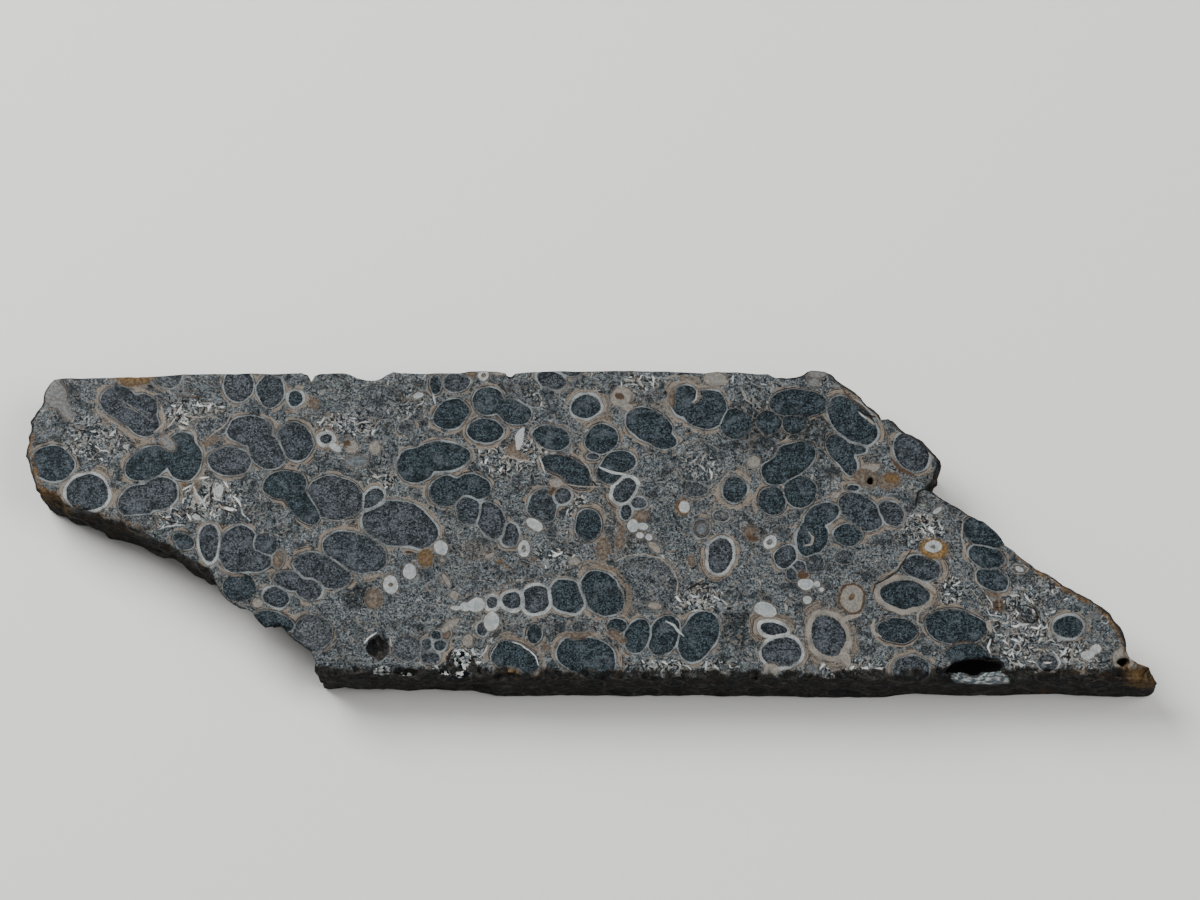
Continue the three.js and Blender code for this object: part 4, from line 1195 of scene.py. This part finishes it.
def pieces_of_shell(b, n, hue, body):
    """Solid shell, patches and slivers over the rest."""
    shades = {"white": hue.white, "cream": hue.cream, "grey": hue.spot_grey, "tan": hue.tan,
              "honey": hue.honey, "amber": hue.amber, "brown": hue.brown}
    tints = b.ramp(n.spot_tint, [(SPOT_TINTS[name], shade) for name, shade in shades.items()])
    brownish = b.ease(n.spot_tint, 0.05, 0.6)
    edge = n.spot_gap + (n.coarse - 0.5) * (0.14 + 0.5 * brownish) + (n.grain - 0.5) * 0.08
    body = b.blend(b.ease(abs(edge - 0.2), 0.16, 0.02) * 0.6, body, b.blend(n.patch, hue.wall_dark, hue.wall))
    core = b.ease(n.spot_gap, -0.15, -0.9) * b.ease(n.coarse, 0.4, 0.65) * (0.35 - 0.25 * brownish)
    mottled = b.blend(b.ease(n.grain + (n.coarse - 0.5) * 1.1, 0.56, 0.46) * (0.32 + 0.34 * brownish), tints,
                      hue.wall_dark)
    mottled = b.blend(core, mottled, hue.spot_grey)
    mottled = b.blend(b.ease(edge, -0.6, -0.05) * brownish * 0.45, mottled, hue.brown)
    mottled = b.blend(b.ease(n.patch, 0.44, 0.62) * (0.35 - 0.27 * brownish), mottled, hue.spot_grey)
    body = b.blend(b.ease(edge, 0.05, -0.05), body, mottled)

    line = b.ramp(n.streak_tint, [(tint, getattr(hue, name)) for name, tint in STREAK_TINTS.items()])
    speckled = b.ease(n.grain + (n.coarse - 0.5) * 0.5, 0.54, 0.4)
    line = b.blend(speckled * (0.25 + 0.5 * b.ease(n.streak_tint, 0.3, 0.6)), line, hue.wall_dark)
    streak = n.streak_gap + (n.patch - 0.5) * 0.2 + (n.grain - 0.5) * 0.08
    return b.blend(b.ease(streak, 0.06, -0.05) * 0.92, body, line)


def edges_and_sides(b, n, hue, body):
    """The rough walls, their dark colour partly painted shade, hollows blackened inside with painted shade,
    rusty and worn edges with painted shade and glints, white quartz with painted glints, and ribbed shell,
    over the rest.
    """
    edge = n.border + (n.coarse - 0.5) * 1.0 + (n.grain - 0.5) * 0.4
    rusty = b.blend(b.ease(n.coarse, 0.4, 0.6), hue.brown, hue.honey)
    rust_shown = b.ease(edge, 0.75, 0.2) * b.ease(n.rust, 0.2, 0.9) * b.ease(n.patch, 0.36, 0.56) * 0.9
    body = b.blend(rust_shown, body, rusty)

    crumbs = b.noise(n.p, 0.75, 6.0, 0.7)
    rind_and_shade = b.blend(b.ease(crumbs, 0.47, 0.74), hue.rind_and_shade, hue.rind_pale)
    rind_and_shade = b.blend(b.ease(n.cloud, 0.5, 0.65) * (0.1 + 0.6 * n.rust), rind_and_shade, hue.brown)
    section = b.cells(b.shifted(n.bent, (2.0, 5.0, 3.0)), 0.17)
    rind_and_shade = b.blend(b.ease(section, 0.34, 0.3) * 0.6, rind_and_shade, b.blend(n.speck, hue.fill_low, hue.rind_and_shade))
    section_rim = b.ease(abs(section - 0.36), 0.045, 0.01) * b.ease(n.patch, 0.38, 0.56) * 0.75
    rind_and_shade = b.blend(section_rim, rind_and_shade, hue.rind_pale)
    # Amber stain on the broken sides, its real colour brightened as painted light where the slanted sides get
    # less light
    amber_and_light_shown = b.ease(n.stain, 0.35, 0.9) * b.ease(n.patch, 0.35, 0.6) * 0.8
    rind_and_shade = b.blend(amber_and_light_shown, rind_and_shade, b.blend(n.speck, hue.honey, hue.amber))
    side = b.ease(n.depth, 0.05, 0.5)
    # The walls take the rind colour: their own dark stone, darkened further as painted shade
    body = b.blend(side * (0.7 + 0.25 * b.ease(n.cloud, 0.4, 0.6)), body, rind_and_shade)
    # Painted shade: the hollows go black deep inside
    body = b.blend(b.ease(n.pit + (n.coarse - 0.5) * 0.9, 0.25, 0.75), body, hue.black)

    shallow = b.ease(n.depth, 3.2, 1.6)
    # The crumbled front edge: dark patches are painted shade in its chip holes, bright flecks partly painted
    # glints
    chips = b.blend(b.ease(n.patch + (n.grain - 0.5) * 0.6, 0.5, 0.62), hue.fill_low, hue.bright)
    chips_shade_and_glints_shown = b.ease(edge, 0.9, 0.3) * b.ease(n.worn, 0.2, 0.8) * b.ease(n.depth, 0.9, 0.3) * 0.75
    body = b.blend(chips_shade_and_glints_shown, body, chips)
    # White quartz in dark, grey and bright facets; the bright facets are painted glints
    facet, facet_two = b.apart(b.cells(b.shifted(n.bent, (6.0, 2.0, 9.0)), 1.9, output=1))
    clear = b.blend(b.ease(facet_two, 0.2, 0.5), hue.spot_grey, hue.bright)
    quartz = b.blend(b.ease(facet, 0.3, 0.42), hue.fill_low, clear)
    body = b.blend(b.ease(n.crystal + (n.coarse - 0.5) * 0.8, 0.45, 0.6) * shallow, body, quartz)
    along = b.node("ShaderNodeMapping", Vector=n.p, Rotation=(0.0, 0.0, -0.14), Scale=(0.35, 1.0, 1.0))
    ribbed = b.ramp(b.noise(along, 3.0, 2.0, 0.6), [
        (0.36, hue.fill_high), (0.48, hue.spot_grey), (0.56, hue.white), (0.66, hue.bright)])
    body = b.blend(b.ease(n.ribs + (n.coarse - 0.5) * 0.5, 0.35, 0.55) * shallow, body, ribbed)
    return body, side, crumbs


def stone_finish(colours):
    """The whole stone's material."""
    b = Bench("fossil stone")
    n = grain_of(b)
    hue = SimpleNamespace(**{name: tuple(getattr(colours, name)) for name in SlabColours.__annotations__})
    body = chambers(b, n, hue, ground(b, n, hue))
    body = pieces_of_shell(b, n, hue, body)
    body, side, crumbs = edges_and_sides(b, n, hue, body)
    b.set("Base Color", body)
    b.set("Roughness", 0.5 + side * 0.35 + n.speck * 0.06)
    b.set("Specular IOR Level", 0.06)
    polish = b.bump(n.grain * 0.5 + b.ease(n.gap, -0.1, 0.1) * 0.6, 0.00002, 1.0)
    b.set("Normal", b.bump(crumbs * side, 0.0012, 0.9, Normal=polish))
    return b.material


class SLAB_OT_stone(bpy.types.Operator):
    """Cuts the fossil slab fine enough for its pattern, breaks up its sides and gives it its stone"""

    bl_idname = "fossil.stone"
    bl_label = "Fossil slab"

    def execute(self, context):
        sizes = context.scene.slab_sizes
        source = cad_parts[NODE]
        slab = source.copy()
        slab.data = source.data.copy()
        slab.name = "cut_fossil_slab"
        slab.parent = None
        context.scene.collection.objects.link(slab)
        slab.data.materials.clear()
        only(slab)
        cut_fine(slab, sizes)
        break_up(slab, sizes)
        paint(slab)
        bpy.ops.object.shade_smooth_by_angle(angle=sizes.sharp)
        slab.data.materials.append(stone_finish(context.scene.slab_colours))
        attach(slab, "root")
        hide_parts(NODE)
        return {"FINISHED"}


class SLAB_OT_stage(bpy.types.Operator):
    """Lays the pale floor and sets the camera and the soft lights"""

    bl_idname = "fossil.stage"
    bl_label = "Stage"

    def execute(self, context):
        settings = context.scene.slab_stage
        bpy.ops.object.select_all(action="DESELECT")
        bpy.ops.mesh.primitive_plane_add(size=settings.floor_size)
        floor = context.object
        floor.name = "floor"
        paper = Bench("floor paper")
        paper.set("Base Color", tuple(settings.floor_colour))
        paper.set("Roughness", 0.85)
        floor.data.materials.append(paper.material)

        look = settings.look_at
        tilt = math.pi / 2 - settings.elevation
        bpy.ops.object.camera_add(
            location=(look[0], look[1] - settings.distance * math.sin(tilt),
                      look[2] + settings.distance * math.cos(tilt)),
            rotation=(tilt, 0, 0))
        camera = context.object
        camera.data.lens = settings.lens
        camera.data.sensor_width = 36.0
        camera.data.clip_end = 50.0
        context.scene.camera = camera

        for name, place, degrees, size, power in (
                ("key", (-0.5, 0.42, 0.55), (-37, -42, 0), 0.5, settings.key_power),
                ("fill", (0.55, -0.05, 0.7), (4, 38, 0), 0.6, settings.fill_power)):
            turn = tuple(math.radians(d) for d in degrees)
            bpy.ops.object.light_add(type="AREA", location=place, rotation=turn)
            lamp = context.object
            lamp.name = name
            lamp.data.size = size
            lamp.data.energy = power
        world = bpy.data.worlds.new("even light")
        world.use_nodes = True
        world.node_tree.nodes["Background"].inputs[0].default_value = (1.0, 1.0, 1.0, 1.0)
        world.node_tree.nodes["Background"].inputs[1].default_value = settings.sky
        context.scene.world = world
        return {"FINISHED"}


class SLAB_PT_panel(bpy.types.Panel):
    """Shows the sizes, colours and stage settings and both operators in the sidebar"""

    bl_idname = "SLAB_PT_panel"
    bl_label = "Fossil Slab"
    bl_space_type = "VIEW_3D"
    bl_region_type = "UI"
    bl_category = "Fossil Slab"

    def draw(self, context):
        scene = context.scene
        for settings in (scene.slab_sizes, scene.slab_colours, scene.slab_stage):
            box = self.layout.box()
            for name in settings.__annotations__:
                box.prop(settings, name)
        self.layout.operator("fossil.stone")
        self.layout.operator("fossil.stage")


CLASSES = (SlabSizes, SlabColours, StageSettings, SLAB_OT_stone, SLAB_OT_stage, SLAB_PT_panel)


def register():
    for cls in CLASSES:
        bpy.utils.register_class(cls)
    bpy.types.Scene.slab_sizes = bpy.props.PointerProperty(type=SlabSizes)
    bpy.types.Scene.slab_colours = bpy.props.PointerProperty(type=SlabColours)
    bpy.types.Scene.slab_stage = bpy.props.PointerProperty(type=StageSettings)


def unregister():
    del bpy.types.Scene.slab_stage
    del bpy.types.Scene.slab_colours
    del bpy.types.Scene.slab_sizes
    for cls in reversed(CLASSES):
        bpy.utils.unregister_class(cls)


def main():
    register()
    bpy.ops.fossil.stone()
    bpy.ops.fossil.stage()


if __name__ == "__main__":
    main()
